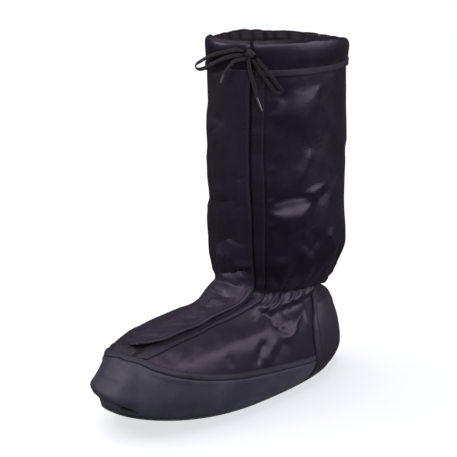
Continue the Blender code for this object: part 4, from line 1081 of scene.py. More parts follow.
def solid_sheet(name, outer, inner, mat, uv, closed=False, sharp=None, shade=None):
    """Closed solid between two grids with rounded rims: half-way rings stand a little out."""
    rows, cols = outer.shape[:2]
    uv = np.asarray(uv, float)

    pts = [outer.reshape(-1, 3), inner.reshape(-1, 3)]
    uvs = [uv.reshape(-1, 2), uv.reshape(-1, 2)]
    base = rows * cols
    o = lambda i, j: i * cols + j % cols
    n = lambda i, j: base + i * cols + j % cols
    faces = []
    I, J = np.meshgrid(np.arange(rows - 1), np.arange(cols if closed else cols - 1), indexing="ij")
    I, J = I.ravel(), J.ravel()
    K = (J + 1) % cols
    quads = np.stack([I * cols + J, I * cols + K, (I + 1) * cols + K, (I + 1) * cols + J], -1)
    faces += quads.tolist()
    faces += (base + quads[:, ::-1]).tolist()
    if closed:
        rims = [[(i, j) for j in range(cols)] for i in (0, rows - 1)]
    else:
        loop = [(0, j) for j in range(cols)] + [(i, cols - 1) for i in range(1, rows)]
        loop += [(rows - 1, j) for j in range(cols - 2, -1, -1)] + [(i, 0) for i in range(rows - 2, 0, -1)]
        rims = [loop]
    start = 2 * base
    for rim in rims:
        ii = np.array([k[0] for k in rim])
        jj = np.array([k[1] for k in rim])
        a, b = outer[ii, jj], inner[ii, jj]
        # outward direction in the sheet: away from its inside neighbour
        i2 = np.where(ii == 0, 1, np.where(ii == rows - 1, rows - 2, ii))
        j2 = jj if closed else np.where(jj == 0, 1, np.where(jj == cols - 1, cols - 2, jj))
        away = (a - outer[i2, j2]) + (b - inner[i2, j2])
        away /= np.maximum(np.linalg.norm(away, axis=1, keepdims=True), 1e-9)
        thick = np.linalg.norm(a - b, axis=1, keepdims=True)
        ring = (a + b) / 2 + away * thick * 0.36
        pts.append(ring)
        uvs.append(uv[ii, jj])
        m = len(rim)
        for k in range(m):
            q = (k + 1) % m
            fo, fq = int(ii[k] * cols + jj[k]), int(ii[q] * cols + jj[q])
            faces.append((fo, fq, start + q, start + k))
            faces.append((start + k, start + q, base + fq, base + fo))
        start += m
    return new_piece(name, np.concatenate(pts), faces, mat, np.concatenate(uvs), sharp, None, None if shade is None else shade.ravel())


def arc_uv(u, v):
    arc = np.where(u >= 0, u * 2 * S.girth(v, 1), u * 2 * S.girth(v, -1))
    return np.stack([arc, w_of(v)], -1)


# ---- upper: one hollow body of cloth, and its lining ----
OUT_COLS, IN_COLS = 450, 150
w_split = float(w_of(2.05))
rows_w = np.concatenate([np.linspace(0.0, w_split, 12, endpoint=False), np.linspace(w_split, HEIGHT, 187)])
ou, ov = np.meshgrid(np.arange(OUT_COLS) / OUT_COLS - 0.5, v_of(rows_w))
outer = cloth(ou, ov)
in_w = np.linspace(0.0, HEIGHT, 66)
iu, iv = np.meshgrid(np.arange(IN_COLS) / IN_COLS - 0.5, v_of(in_w))
inner = cloth_inner(iu, iv, -1.15)
inner[0, :, 2] = np.maximum(inner[0, :, 2], outer[0, ::3, 2])
ro, ri = outer.shape[0], inner.shape[0]
I, J = np.meshgrid(np.arange(ro - 1), np.arange(OUT_COLS), indexing="ij")
I, J = I.ravel(), J.ravel()
K = (J + 1) % OUT_COLS
faces = np.stack([I * OUT_COLS + J, I * OUT_COLS + K, (I + 1) * OUT_COLS + K, (I + 1) * OUT_COLS + J], -1).tolist()
base = ro * OUT_COLS
I, J = np.meshgrid(np.arange(ri - 1), np.arange(IN_COLS), indexing="ij")
I, J = I.ravel(), J.ravel()
K = (J + 1) % IN_COLS
faces += (base + np.stack([I * IN_COLS + J, (I + 1) * IN_COLS + J, (I + 1) * IN_COLS + K, I * IN_COLS + K], -1)).tolist()
for k in range(IN_COLS):
    q = (k + 1) % IN_COLS
    a = [(3 * k + m) % OUT_COLS for m in range(4)]
    faces.append([a[0], base + k, base + q, a[3], a[2], a[1]])
    t, tn = (ro - 1) * OUT_COLS, base + (ri - 1) * IN_COLS
    faces.append([t + a[0], t + a[1], t + a[2], t + a[3], tn + q, tn + k])
new_piece("boot_cloth", np.concatenate([outer.reshape(-1, 3), inner.reshape(-1, 3)]), faces, CLOTH,
          np.concatenate([arc_uv(ou, ov).reshape(-1, 2), arc_uv(iu, iv).reshape(-1, 2)]), 60,
          shade=grid_at(SEAMS_AND_SHADE, ou, ov).ravel())
solid_sheet("boot_lining", cloth_inner(iu, iv, -1.35), cloth_inner(iu, iv, -2.25 - 0.25 * np.abs(np.sin(iu * 200))), FLEECE, arc_uv(iu, iv), closed=True)


def on_sole(p, u):
    floor_z = sole_top(u) + SOLE_GAP + 0.02
    p[..., 2] = np.maximum(p[..., 2], floor_z + 0.0)
    return p


def dent(distance, depth=0.30, width=0.85):
    return -depth * np.exp(-(distance / width) ** 2)


def rim_round(distance, amount, reach):
    """Offset lost towards a free edge, distance in mm from it."""
    t = np.clip(1 - distance / reach, 0, 1)
    return -amount * (1 - np.sqrt(np.maximum(1 - t * t, 0)))


PUCKER = noise(40, 7.5, 81)[NR // 2] * 0.5 + noise(40, 17, 82)[NR // 2] * 0.5


def pucker(u):
    return np.interp(np.mod(np.asarray(u) + 0.5, 1.0), np.arange(NC + 1) / NC, np.append(PUCKER, PUCKER[0]))


# rand round the toe and both sides
near_top = np.array([0, .25, .5, .75, 1.0, 1.3, 1.7, 2.3, 3.0, 3.7, 4.3, 4.75, 5.1, 5.4, 5.7, 6.0, 6.3, 6.65, 7.1, 7.7, 8.4, 9.2, 10.0])
n_cols = 540
rest_n = 64
n_rows = rest_n + len(near_top)
u = np.zeros((n_rows, n_cols))
v = np.full((n_rows, n_cols), 1.0)
for _ in range(6):
    c = np.linspace(0, 1, n_cols)[None, :]
    lo, hi = -counter_front(v[:, 0], -1)[:, None], counter_front(v[:, -1], 1)[:, None]
    u = lo * (1 - c) + hi * c
    w_top, w_low = w_of(rand_top(u)), w_of(0.14)
    lower = np.linspace(0, 1, rest_n, endpoint=False)[:, None]
    v[:rest_n] = v_of(w_low + (w_top[:rest_n] - near_top[-1] - w_low) * lower)
    v[rest_n:] = v_of(w_top[rest_n:] - near_top[::-1][:, None])
from_top = w_of(rand_top(u)) - w_of(v)
from_end = np.minimum((u - u[:, :1]) * 600, (u[:, -1:] - u) * 600)
band = np.exp(-((from_top - 2.9) / 1.7) ** 2)
off = SKIN_GAP + SKIN + 0.16 * band * (1 + 1.6 * pucker(u)) + dent(from_top - 5.7, 0.75, 0.7)
off = off + 0.35 * np.exp(-((from_top - 8.5) / 2.2) ** 2) * (1 + 0.9 * pucker(u + 0.01))
off = off + rim_round(from_top, 0.45, 1.2) + rim_round(np.maximum(from_end, 0), 0.6, 1.6)
rand_uv = (u, v)
outer = on_sole(cloth(u, v, off), u)
inner_p = on_sole(cloth(u, v, np.full_like(u, SKIN_GAP)), u)
# dark lines on the rand: the topstitch seam 5.7 mm down, and painted shade along the top edge, over the raised band, at
# the ends, in the toe fold and along the bottom by the sole
lines = 0.9 * np.exp(-((from_top - 5.7) / 0.62) ** 2) + 0.9 * np.exp(-((from_top - 0.1) / 0.7) ** 2) + 0.22 * np.exp(-((from_top - 3.0) / 2.0) ** 2) + 0.7 * np.exp(-(from_end / 1.0) ** 2)
lines = np.clip(lines + 0.75 * np.exp(-(w_of(v) - w_of(0.14)) / 1.3) + grid_at(RAND_CREASE_SHADE, u, v), 0, 1)
solid_sheet("rand_skin", outer, inner_p, COATING, arc_uv(u, v), shade=lines)
RAND_U, RAND_V, RAND_OFF, RAND_FROM = u, v, off, from_top

# heel counter, lapped over the rand's ends
n_rows, n_cols = 96, 210
vv = v_of(np.linspace(w_of(0.14), w_of(COUNTER_TOP_ROW), n_rows))[:, None]
c = np.linspace(0, 1, n_cols)[None, :]
lo, hi = counter_front(vv[:, 0], 1)[:, None], 1.0 - counter_front(vv[:, 0], -1)[:, None]
u = lo * (1 - c) + hi * c
v = np.repeat(vv, n_cols, axis=1)
from_front = np.minimum((u - lo) * 620, (hi - u) * 620)
from_top = w_of(COUNTER_TOP_ROW) - w_of(v)
lap = soft(-from_front, -9.0, -6.5)
off = SKIN_GAP + SKIN + 0.55 * lap + dent(from_front - 2.2, 0.3, 0.7) * 1.0 + dent(from_front - 7.6, 0.35, 0.8)
off = off + rim_round(from_front, 0.8, 1.5) + rim_round(from_top, 0.7, 1.8)
outer = on_sole(cloth(u, v, off), u)
inner_p = on_sole(cloth(u, v, np.full_like(u, SKIN_GAP)), u)
# dark lines on the counter: the seam 7.6 mm in, and painted shade along the front and top edges and along the bottom by
# the sole
lines = 0.9 * np.exp(-(from_front / 0.9) ** 2) + 0.8 * np.exp(-((from_front - 7.6) / 0.8) ** 2) + 0.7 * np.exp(-(from_top / 1.0) ** 2)
lines = np.clip(lines + 0.75 * np.exp(-(w_of(v) - w_of(0.14)) / 1.3), 0, 1)
solid_sheet("heel_skin", outer, inner_p, COATING_HEEL_SHADED, arc_uv(np.mod(u + 0.5, 1.0) - 0.5, v) + np.stack([np.where(u > 0.5, 2 * S.girth(v, 1) * 0.5 + 2 * S.girth(v, -1) * 0.5, 0.0), np.zeros_like(u)], -1), shade=lines)
HEEL_LO, HEEL_HI, HEEL_V = lo[:, 0], hi[:, 0], vv[:, 0]

# strip beside the opening
casing_low = TOP + (CASING_OUTER[0][1] - BUTT_GAP) / 94.0
n_rows, n_cols = 330, 26
start_v = rand_top(S.u_of(np.array([24.0]), 3.2))[0] + 0.03
vv = v_of(np.linspace(w_of(start_v), w_of(casing_low + 0.05), n_rows))[:, None]
c = np.linspace(0, 1, n_cols)[None, :]
arc = (front_edge(vv, 1) - TAPE_UNDER_FLAP) * (1 - c) + front_edge(vv, 2) * c
v = np.repeat(vv, n_cols, axis=1)
u = S.u_of(arc, v)
edge = front_edge(v, 2) - arc
ribs = front_edge(v, 1) + 2.6
off = SKIN_GAP + TAPE + dent(edge - 1.8, 0.25, 0.6) + rim_round(edge, 0.55, 1.0)
off = off + 0.55 * np.exp(-((arc - ribs - 1.7) / 0.75) ** 2) * (1 + 0.5 * np.sin(w_of(v) * 2.1)) * soft(v, 6.4, 7.4) + dent(arc - ribs, 0.4, 0.8)
# painted shadow of the flap's free edge across the strip, and a dark line along the strip's outer edge
dark = np.clip(1.0 - (arc - front_edge(v, 1) + 1.5) / 3.6, 0, 1) + 0.85 * np.exp(-(edge / 0.7) ** 2)
solid_sheet("front_strip", cloth(u, v, off), cloth(u, v, np.full_like(u, SKIN_GAP)), STRIP, arc_uv(u, v), shade=np.clip(dark, 0, 1))

# flap over the opening
n_rows, n_cols = 420, 60
end_v = FLAP_END_ROW - 0.30
vv = v_of(np.linspace(w_of(end_v), w_of(casing_low + 0.05), n_rows))[:, None]
c = np.linspace(0, 1, n_cols)[None, :]
run_v = w_of(vv) - w_of(end_v)
narrow = np.sqrt(np.clip(1 - (1 - np.clip(run_v / 17.0, 0, 1)) ** 2, 0.10, 1))
edge_wave = 0.5 * np.interp(w_of(vv[:, 0]), ROW_W, noise(14, 60, 91)[:, 0])[:, None]
left, right = front_edge(vv, 0), front_edge(vv, 1) + edge_wave * soft(vv, 3.8, 4.6)
mid = (left + right) / 2 + 2.0 * (1 - narrow)
arc = mid + (left * (1 - c) + right * c - (left + right) / 2) * narrow
v = np.repeat(vv, n_cols, axis=1)
u = S.u_of(arc, v)
foot = np.clip((8.0 - v) / 2.5, 0, 1)
lift = FLAP_LIFT_SHAFT + (FLAP_LIFT_FOOT - FLAP_LIFT_SHAFT) * foot + 1.5 * foot * soft(v, 4.0, 4.7)
under = SKIN_GAP + 0.1 + (lift - SKIN_GAP - 0.1) * np.clip(c / 0.85, 0, 1) ** 1.3
width = (right - left) * narrow
from_left, from_right = c * width, (1 - c) * width
thick = FLAP + dent(from_left - 2.0, 0.35, 0.8) + dent(from_left - 6.6, 0.35, 0.8)
thick = thick + dent(from_right - 3.4, 0.22, 0.8) + 0.5 * np.exp(-((from_right - 1.5) / 1.1) ** 2)
thick = thick + rim_round(from_left, 1.0, 1.6) + rim_round(from_right, 0.9, 1.3) + rim_round(run_v + 0 * c, 0.9, 1.8)
curl = 0.8 * foot * np.exp(-(from_right / 5.0) ** 2)
lines = 0.8 * np.exp(-((from_left - 2.0) / 0.7) ** 2) + 0.55 * np.exp(-((from_left - 6.6) / 0.7) ** 2) + 0.8 * np.exp(-(from_left / 0.6) ** 2)
lines = lines + 0.35 * np.exp(-((from_right - 3.4) / 0.7) ** 2)
solid_sheet("front_flap", cloth(u, v, under + thick + curl), cloth(u, v, under + curl), CLOTH_FLAP_LIT, arc_uv(u, v), shade=np.clip(lines, 0, 1))
FLAP_ROWS = vv[:, 0]
FLAP_ARC, FLAP_TOPS, FLAP_L, FLAP_R = arc, under + thick + curl, from_left, from_right

# ---- drawcord casing ----
FOLD_OUTER = ((1.6, -27.0), (2.1, -19.0), (3.0, -10.0), (3.3, -3.0), (2.9, 1.6), (1.4, 4.0), (-0.8, 4.7), (-2.8, 3.6), (-4.1, 0.4), (-5.2, -9.0), (-4.3, -24.0))
FOLD_INNER = ((0.5, -27.0), (0.9, -19.0), (1.6, -10.0), (1.9, -3.0), (1.5, 1.0), (0.5, 2.7), (-0.8, 3.2), (-1.9, 2.4), (-2.8, -0.2), (-3.9, -9.0), (-3.0, -24.0))
slit_a, slit_b = [float(S.u_of(s, TOP)) for s in CASING_SLIT]
n_round = 640
around = np.linspace(slit_b, slit_a + 1.0, n_round)
turn = np.mod(around + 0.5, 1.0) - 0.5
arc_front = np.where(turn >= 0, turn * 2 * S.girth(TOP, 1), turn * 2 * S.girth(TOP, -1))
raised = 0.9 / (1 + np.exp((arc_front - 34.0) / 0.6)) / (1 + np.exp(-(arc_front + 26.0) / 4.0))
rise = CASING_RISE_MED * np.clip(-np.sin(turn * 2 * math.pi), 0, 1)
near_side = soft(turn, -0.135, -0.062) * (1 - soft(turn, 0.27, 0.40))
far_side = 1 - soft(turn, -0.44, -0.24) * (1 - soft(turn, 0.36, 0.46))
rise = rise + 5.6 * near_side - 4.2 * far_side
smooth_side = soft(arc_front, -30, -22) * (1 - soft(arc_front, 28, 34))
c_pleat = noise(40, 5.6, 101)[0]
c_fold = noise(40, 15.0, 102)[0]
c_wave = noise(40, 40.0, 103)[0]
ring = lambda row: np.interp(np.mod(around + 0.5, 1.0), np.arange(NC + 1) / NC, np.append(row, row[0]))
pl, fo, wa = ring(c_pleat), ring(c_fold), ring(c_wave)
quiet = 1 - 0.75 * smooth_side
rng = np.random.default_rng(19)
crease = np.zeros(n_round)
spot = -0.10
while spot > -0.60:
    wide_ = rng.uniform(2.0, 3.6) / 400.0
    gap_ = np.abs(np.mod(turn - spot + 0.5, 1.0) - 0.5)
    crease = np.maximum(crease, rng.uniform(0.5, 1.0) * np.exp(-(gap_ / wide_) ** 1.5))
    spot -= rng.uniform(0.026, 0.050)


def casing_surface(profile, steps, skin):
    prof = smooth_rows(profile, np.linspace(0, len(profile) - 1, steps))
    out = np.zeros((steps, n_round, 3))
    for i, (off_, dz) in enumerate(prof):
        k = i / (steps - 1)
        outside = 1 - soft(np.array(k), 0.45, 0.62)
        bulge = np.exp(-((dz + 11) / 9.0) ** 2)
        low = np.exp(-((dz + 25) / 5.0) ** 2)
        puff = (outside * (0.35 * fo * bulge + (0.30 * pl + 0.2 * fo) * low + 0.45 * wa * bulge)
                + (1 - outside) * (-(0.75 * fo + 0.40 * pl) * np.exp(-((dz + 9) / 10.0) ** 2) + 1.1 * crease * np.exp(-((dz + 7) / 13.0) ** 4))) * quiet
        crown = np.exp(-((dz - 2.5) / 4.5) ** 2)
        lifted = off_ + (raised if off_ > 0 else 0.0) + puff
        v_ = TOP + min(dz, 0.0) / 94.0
        n_ = grid_at(BASE_N, around, np.full(n_round, v_))
        n_ /= np.linalg.norm(n_, axis=1, keepdims=True)
        d_ = grid_at(D, around, np.full(n_round, v_))
        keep = outside * np.exp(-max(dz + 8.0, 0.0) / 8.0)
        out[i] = S.at(around, np.full(n_round, v_)) + n_ * (lifted + d_ * keep)[:, None]
        slant = 2.2 * near_side * np.exp(-((off_ + 2.4) / 1.6) ** 2) * (dz > -1.0)
        out[i, :, 2] += max(dz, 0.0) + slant + rise * np.clip((dz + 14.0) / 17.0, 0, 1) + crown * quiet * (0.9 * fo + 0.55 * pl + 0.4 * wa - 0.9 * crease)
    return out


arc_c = arc_front + np.where(around > 0.5, 2 * S.girth(TOP, 1) * 0.5 + 2 * S.girth(TOP, -1) * 0.5, 0.0)
face_out = casing_surface(FOLD_OUTER, 60, True)
face_in = casing_surface(FOLD_INNER, 60, False)
down = np.concatenate([[0.0], np.cumsum(np.linalg.norm(np.diff(face_out[:, n_round // 2], axis=0), axis=1))])
c_uv = np.stack([np.repeat(arc_c[None, :], 60, 0), np.repeat(down[:, None], n_round, 1) + 320.0], -1)
# painted shade in the vertical creases on the turned-in side
inward = np.clip((np.arange(60) - 33) / 8.0, 0, 1)[:, None]
collar = solid_sheet("collar_fold", face_out, face_in, [CLOTH, CLOTH_IN], c_uv, shade=0.85 * inward * crease[None, :])
# the turned-in side is the fabric's duller back
kind = np.zeros(len(collar.data.polygons), np.int32)
grid_faces = np.arange(59 * (n_round - 1)).reshape(59, n_round - 1)
kind[grid_faces[36:].ravel()] = 1
collar.data.polygons.foreach_set("material_index", kind)

# binding along the casing's lower edge, not on the flap
n_b, n_h = 560, 14
b_around = np.linspace(float(S.u_of(36.5, TOP)), 1.0 - 0.5 * 24.5 / float(S.girth(TOP, -1)), n_b)
b_rows = np.linspace(0, 1, n_h)


def binding_surface(extra):
    out = np.zeros((n_h, n_b, 3))
    wave = np.interp(np.mod(b_around + 0.5, 1.0), np.arange(NC + 1) / NC, np.append(c_fold, c_fold[0]))
    small = np.interp(np.mod(b_around + 0.5, 1.0), np.arange(NC + 1) / NC, np.append(c_pleat, c_pleat[0]))
    for i, k in enumerate(b_rows):
        dz = -28.9 + 6.4 * k
        off_ = np.interp(dz, (-29, -27, -24, -20), (1.3, 1.5, 1.7, 2.0)) + extra * (1 - 0.35 * abs(2 * k - 1) ** 4)
        v_ = np.full(n_b, TOP + dz / 94.0)
        n_ = grid_at(BASE_N, b_around, v_)
        n_ /= np.linalg.norm(n_, axis=1, keepdims=True)
        d_ = grid_at(D, b_around, v_)
        out[i] = S.at(b_around, v_) + n_ * (off_ + d_ + 0.22 * wave + 0.16 * small)[:, None]
        out[i, :, 2] += 0.35 * wave
    return out


b_turn = np.mod(b_around + 0.5, 1.0) - 0.5
b_arc = np.where(b_turn >= 0, b_turn * 2 * S.girth(TOP, 1), b_turn * 2 * S.girth(TOP, -1)) + np.where(b_around > 0.5, S.girth(TOP, 1) + S.girth(TOP, -1), 0.0)
b_uv = np.stack([np.repeat(b_arc[None, :], n_h, 0), np.repeat(6.4 * b_rows[:, None], n_b, 1)], -1)
bind_out = binding_surface(0.95)
solid_sheet("collar_binding", bind_out, binding_surface(0.0), BINDING, b_uv)

# ---- sole ----
HALF = 150
share_s = 0.5 * (1 - np.cos(np.linspace(0, math.pi, HALF + 1)))
share_s = 0.55 * share_s + 0.45 * np.linspace(0, 1, HALF + 1)


def outline(out, dz):
    sides = []
    for sign in (-1, 1):
        uu = sign * 0.5 * share_s
        p = S.sample(S.P, uu, np.zeros(HALF + 1))
        q = S.sample(S.P, uu + 0.002, np.zeros(HALF + 1)) - S.sample(S.P, uu - 0.002, np.zeros(HALF + 1))
        side_dir = np.stack([-q[:, 1], q[:, 0], np.zeros(HALF + 1)], -1)
        side_dir /= np.linalg.norm(side_dir, axis=1, keepdims=True)
        flip = np.sign(np.einsum("ij,ij->i", side_dir[:, :2], (p - np.array([0.0, -90.0, 0.0]))[:, :2]))
        p = p + side_dir * flip[:, None] * out
        p[:, 2] += dz
        sides.append(p)
    return sides


def ring_of(out, dz):
    med, lat = outline(out, dz)
    return np.concatenate([med[:-1], lat[:0:-1]])


profile = [(-9.0, -0.32), (0.5, -0.32), (1.9, -0.42), (2.4, -0.72), (2.6, -1.3), (2.35, -2.0), (1.7, -2.55), (0.7, -2.8), (-9.0, -2.8)]
rings = [ring_of(a, b) for a, b in profile]
n_ring = len(rings[0])
pts = list(np.concatenate(rings))
faces = []
for i in range(len(rings) - 1):
    for k in range(n_ring):
        m = (k + 1) % n_ring
        faces.append((i * n_ring + k, i * n_ring + m, (i + 1) * n_ring + m, (i + 1) * n_ring + k))
for which in (0, len(rings) - 1):
    ring_pts = rings[which]
    first = which * n_ring
    # medial stations 0..HALF-1 then lateral ones back: bridge across the sole
    med_i = lambda k: first + k
    lat_i = lambda k: first + (n_ring - k) % n_ring
    inner_n = 7
    last = None
    for k in range(0, HALF + 1):
        a_, b_ = ring_pts[med_i(k) - first] if k < HALF else ring_pts[HALF], ring_pts[lat_i(k) - first]
        if k in (0, HALF):
            row = [med_i(k) if k < HALF else first + HALF]
        else:
            row = [med_i(k)]
            for m in range(1, inner_n):
                w_ = m / inner_n
                pts.append(a_ * (1 - w_) + b_ * w_)
                row.append(len(pts) - 1)
            row.append(lat_i(k))
        if last is not None:
            if len(last) == 1:
                faces += [(last[0], row[m], row[m + 1]) for m in range(len(row) - 1)]
            elif len(row) == 1:
                faces += [(last[m], row[0], last[m + 1]) for m in range(len(last) - 1)]
            else:
                faces += [(last[m], row[m], row[m + 1], last[m + 1]) for m in range(len(row) - 1)]
        last = row
pts = np.array(pts)
new_piece("sole_plate", pts, faces, SOLE_MAT, pts[:, :2], 55)


# ---- sewing ----
stitch_pts, stitch_faces, stitch_uv = [], [], []


def stitches(p, n, every=3.4, long=2.5, r=0.30, wide=1.0):
    """Row of stitches along points p with surface normals n."""
    run_ = np.concatenate([[0.0], np.cumsum(np.linalg.norm(np.diff(p, axis=0), axis=1))])
    count = int(run_[-1] / every)
    if count < 1:
        return
    rng = np.random.default_rng(int(run_[-1] * 10) % 9973)
    starts = (np.arange(count) + 0.5) * every + rng.uniform(-0.18, 0.18, count)
    at_ = lambda f, s_: np.stack([np.interp(s_, run_, f[:, k]) for k in range(3)], -1)
    prof = ((-0.5, 0.15, -0.9), (-0.34, 0.9, -0.1), (0.0, 1.0, 0.12), (0.34, 0.9, -0.1), (0.5, 0.15, -0.9))
    for s_ in starts:
        nn = at_(n, np.array([s_]))[0]
        nn /= np.linalg.norm(nn)
        a_, b_ = at_(p, np.array([s_ - long / 2]))[0], at_(p, np.array([s_ + long / 2]))[0]
        t_ = (b_ - a_) / max(np.linalg.norm(b_ - a_), 1e-6)
        side_ = np.cross(nn, t_)
        start_ = len(stitch_pts)
        for along, size, sink in prof:
            c_ = at_(p, np.array([s_ + along * long]))[0] + nn * (0.10 + sink * r * 0.8)
            for m in range(6):
                a = 2 * math.pi * m / 6
                stitch_pts.append(c_ + (side_ * math.cos(a) * wide + nn * math.sin(a)) * r * size)
                stitch_uv.append((s_ + along * long, m * 0.3))
        for i in range(len(prof) - 1):
            for m in range(6):
                q = (m + 1) % 6
                stitch_faces.append((start_ + i * 6 + m, start_ + i * 6 + q, start_ + (i + 1) * 6 + q, start_ + (i + 1) * 6 + m))
        stitch_faces.append(tuple(start_ + m for m in range(6)))
        e = start_ + (len(prof) - 1) * 6
        stitch_faces.append(tuple(e + m for m in reversed(range(6))))


def skin_line(u, v, off):
    n = grid_at(SMOOTH_N, u, v)
    n = n / np.linalg.norm(n, axis=-1, keepdims=True)
    return cloth(u, v, off), n


# rand: seam near its edge and topstitch below it
lo_u, hi_u = RAND_U[-1, 4], RAND_U[-1, -5]
for drop, sit in ((5.7, 1.25), (1.3, 1.45)):
    uu = np.linspace(lo_u, hi_u, 1400)
    tv = rand_top(uu)
    vv_ = v_of(w_of(tv) - drop)
    p_, n_ = skin_line(uu, vv_, sit + np.zeros_like(uu))
    stitches(p_, n_, 3.2, 2.3, 0.26)
# counter: double seam on both front edges
for inset in (2.2, 7.6):
    for edge_u, sign in ((HEEL_LO, 1), (HEEL_HI, -1)):
        keep_ = slice(3, -2)
        uu = edge_u[keep_] + sign * inset / 620.0
        p_, n_ = skin_line(uu, HEEL_V[keep_], np.full(len(uu), 1.45 if inset > 5 else 1.9))
        stitches(p_, n_, 3.2, 2.3, 0.26)
# strip beside the opening
vv_ = np.linspace(3.9, casing_low - 0.02, 900)
for inset in (1.8,):
    arc_ = front_edge(vv_, 2) - inset
    p_, n_ = skin_line(S.u_of(arc_, vv_), vv_, np.full(900, 1.05))
    stitches(p_, n_, 3.0, 2.2, 0.24)
# body cloth beside the strip
arc_ = front_edge(vv_, 2) + 2.4
p_, n_ = skin_line(S.u_of(arc_, vv_), vv_, np.full(900, 0.0))
stitches(p_, n_, 3.0, 2.2, 0.24)


# flap: double topstitch on the sewn side, one near the free edge
def flap_line(which, inset, sink):
    dist = FLAP_L if which == "left" else FLAP_R
    rows_ = range(14, len(FLAP_ROWS) - 1)
    p_, n_ = [], []
    for i in rows_:
        d_ = dist[i]
        order = np.argsort(d_)
        a_ = float(np.interp(inset, d_[order], FLAP_ARC[i][order]))
        o_ = float(np.interp(inset, d_[order], FLAP_TOPS[i][order]))
        uu_ = S.u_of(np.array(a_), np.array(FLAP_ROWS[i]))
        q, m = skin_line(uu_, np.array(FLAP_ROWS[i]), np.array(o_ - sink))
        p_.append(q)
        n_.append(m)
    return np.array(p_), np.array(n_)


for which, inset in (("left", 2.0), ("left", 6.6), ("right", 3.4)):
    p_, n_ = flap_line(which, inset, 0.05)
    stitches(p_, n_, 3.2, 2.3, 0.24)
# binding: one seam near each edge
for row in (1, -2):
    p_ = bind_out[row]
    nb = grid_at(BASE_N, b_around, np.full(n_b, TOP - 0.2))
    stitches(p_ - nb * 0.05, nb / np.linalg.norm(nb, axis=1, keepdims=True), 3.2, 2.3, 0.26)
# casing seam on the flap
sel = (arc_front > -24) & (arc_front < 30)
p_ = face_out[3][sel]
nb = grid_at(BASE_N, around[sel], np.full(int(sel.sum()), TOP - 0.25))
order = np.argsort(arc_front[sel])
stitches(p_[order], nb[order], 3.2, 2.3, 0.26)
stitch_obj = new_piece("seam_threads", np.array(stitch_pts), stitch_faces, THREAD, np.array(stitch_uv))


# ---- lace: flat, tied in a bow ----
def lace_path(table, step_=0.9):
    p = np.array([S.point(*row) for row in table])
    fine_ = smooth_rows(p, np.linspace(0, len(p) - 1, 40 * len(p)))
    arc_ = np.concatenate([[0.0], np.cumsum(np.linalg.norm(np.diff(fine_, axis=0), axis=1))])
    n_ = int(round(arc_[-1] / step_)) + 1
    want = np.linspace(0, arc_[-1], n_)
    return np.stack([np.interp(want, arc_, fine_[:, k]) for k in range(3)], -1), arc_[-1]


LACE_AXIS = np.array([0.0, -14.0, 0.0])


def ribbon(name, table, wide, thick, twist, taper=(0.0, 0.0), wave=0.0):
    """Flat braid along a path. twist: (share of length, turn in degrees) from lying flat on the boot."""
    path, length = lace_path(table)
    n_ = len(path)
    t_ = np.gradient(path, axis=0)
    t_ /= np.linalg.norm(t_, axis=1, keepdims=True)
    out_ = path - LACE_AXIS
    out_[:, 2] = 0.0
    out_ /= np.linalg.norm(out_, axis=1, keepdims=True)
    out_ -= t_ * np.einsum("ij,ij->i", out_, t_)[:, None]
    size = np.linalg.norm(out_, axis=1, keepdims=True)
    out_ /= np.maximum(size, 1e-6)
    # keep the frame steady where the path turns outward
    for i in range(1, n_):
        if np.dot(out_[i], out_[i - 1]) < 0:
            out_[i] = -out_[i]
        out_[i] = out_[i] * 0.35 + (out_[i - 1] - t_[i] * np.dot(out_[i - 1], t_[i])) * 0.65
        out_[i] /= np.linalg.norm(out_[i])
    s_ = np.linspace(0, 1, n_)
    turn_ = np.radians(np.interp(s_, [k[0] for k in twist], [k[1] for k in twist]))
    side_ = np.cross(t_, out_)
    nrm = out_ * np.cos(turn_)[:, None] + side_ * np.sin(turn_)[:, None]
    side_ = np.cross(t_, nrm)
    ends_ = np.ones(n_)
    if taper[0] > 0:
        ends_ *= np.clip(0.45 + 0.55 * s_ * length / taper[0], 0, 1)
    if taper[1] > 0:
        ends_ *= np.clip(0.45 + 0.55 * (1 - s_) * length / taper[1], 0, 1)
    rng = np.random.default_rng(len(table) * 7 + n_)
    ripple = np.interp(s_ * length, np.arange(0, length + 12, 6.0), rng.uniform(-1, 1, len(np.arange(0, length + 12, 6.0))))
    half_w, half_t = wide / 2 * ends_ * (1 + 0.04 * ripple), thick / 2 * (1 + 0.5 * (1 - ends_))
    prof = []
    for m in range(16):
        a = 2 * math.pi * m / 16
        prof.append((np.sign(math.cos(a)) * abs(math.cos(a)) ** 0.55, np.sign(math.sin(a)) * abs(math.sin(a)) ** 0.75))
    pts_, uv_ = [], []
    for m, (x_, y_) in enumerate(prof):
        sag = 0.18 * thick * (1 - x_ * x_)
        pts_.append(path + side_ * (half_w * x_)[:, None] + nrm * (half_t * y_ * (1 - 0.25 * x_ ** 4) + sag)[:, None])
        uv_.append(np.stack([s_ * length, np.full(n_, 20.0 + m * 0.65)], -1))
    grid = np.stack(pts_, 1)
    uvg = np.stack(uv_, 1)
    faces_ = []
    for i in range(n_ - 1):
        for m in range(16):
            q = (m + 1) % 16
            faces_.append((i * 16 + m, i * 16 + q, (i + 1) * 16 + q, (i + 1) * 16 + m))
    faces_.append(tuple(range(16)))
    faces_.append(tuple((n_ - 1) * 16 + m for m in reversed(range(16))))
    obj = new_piece(name, grid.reshape(-1, 3), faces_, LACE, uvg.reshape(-1, 2), 75)
    return obj, path, length


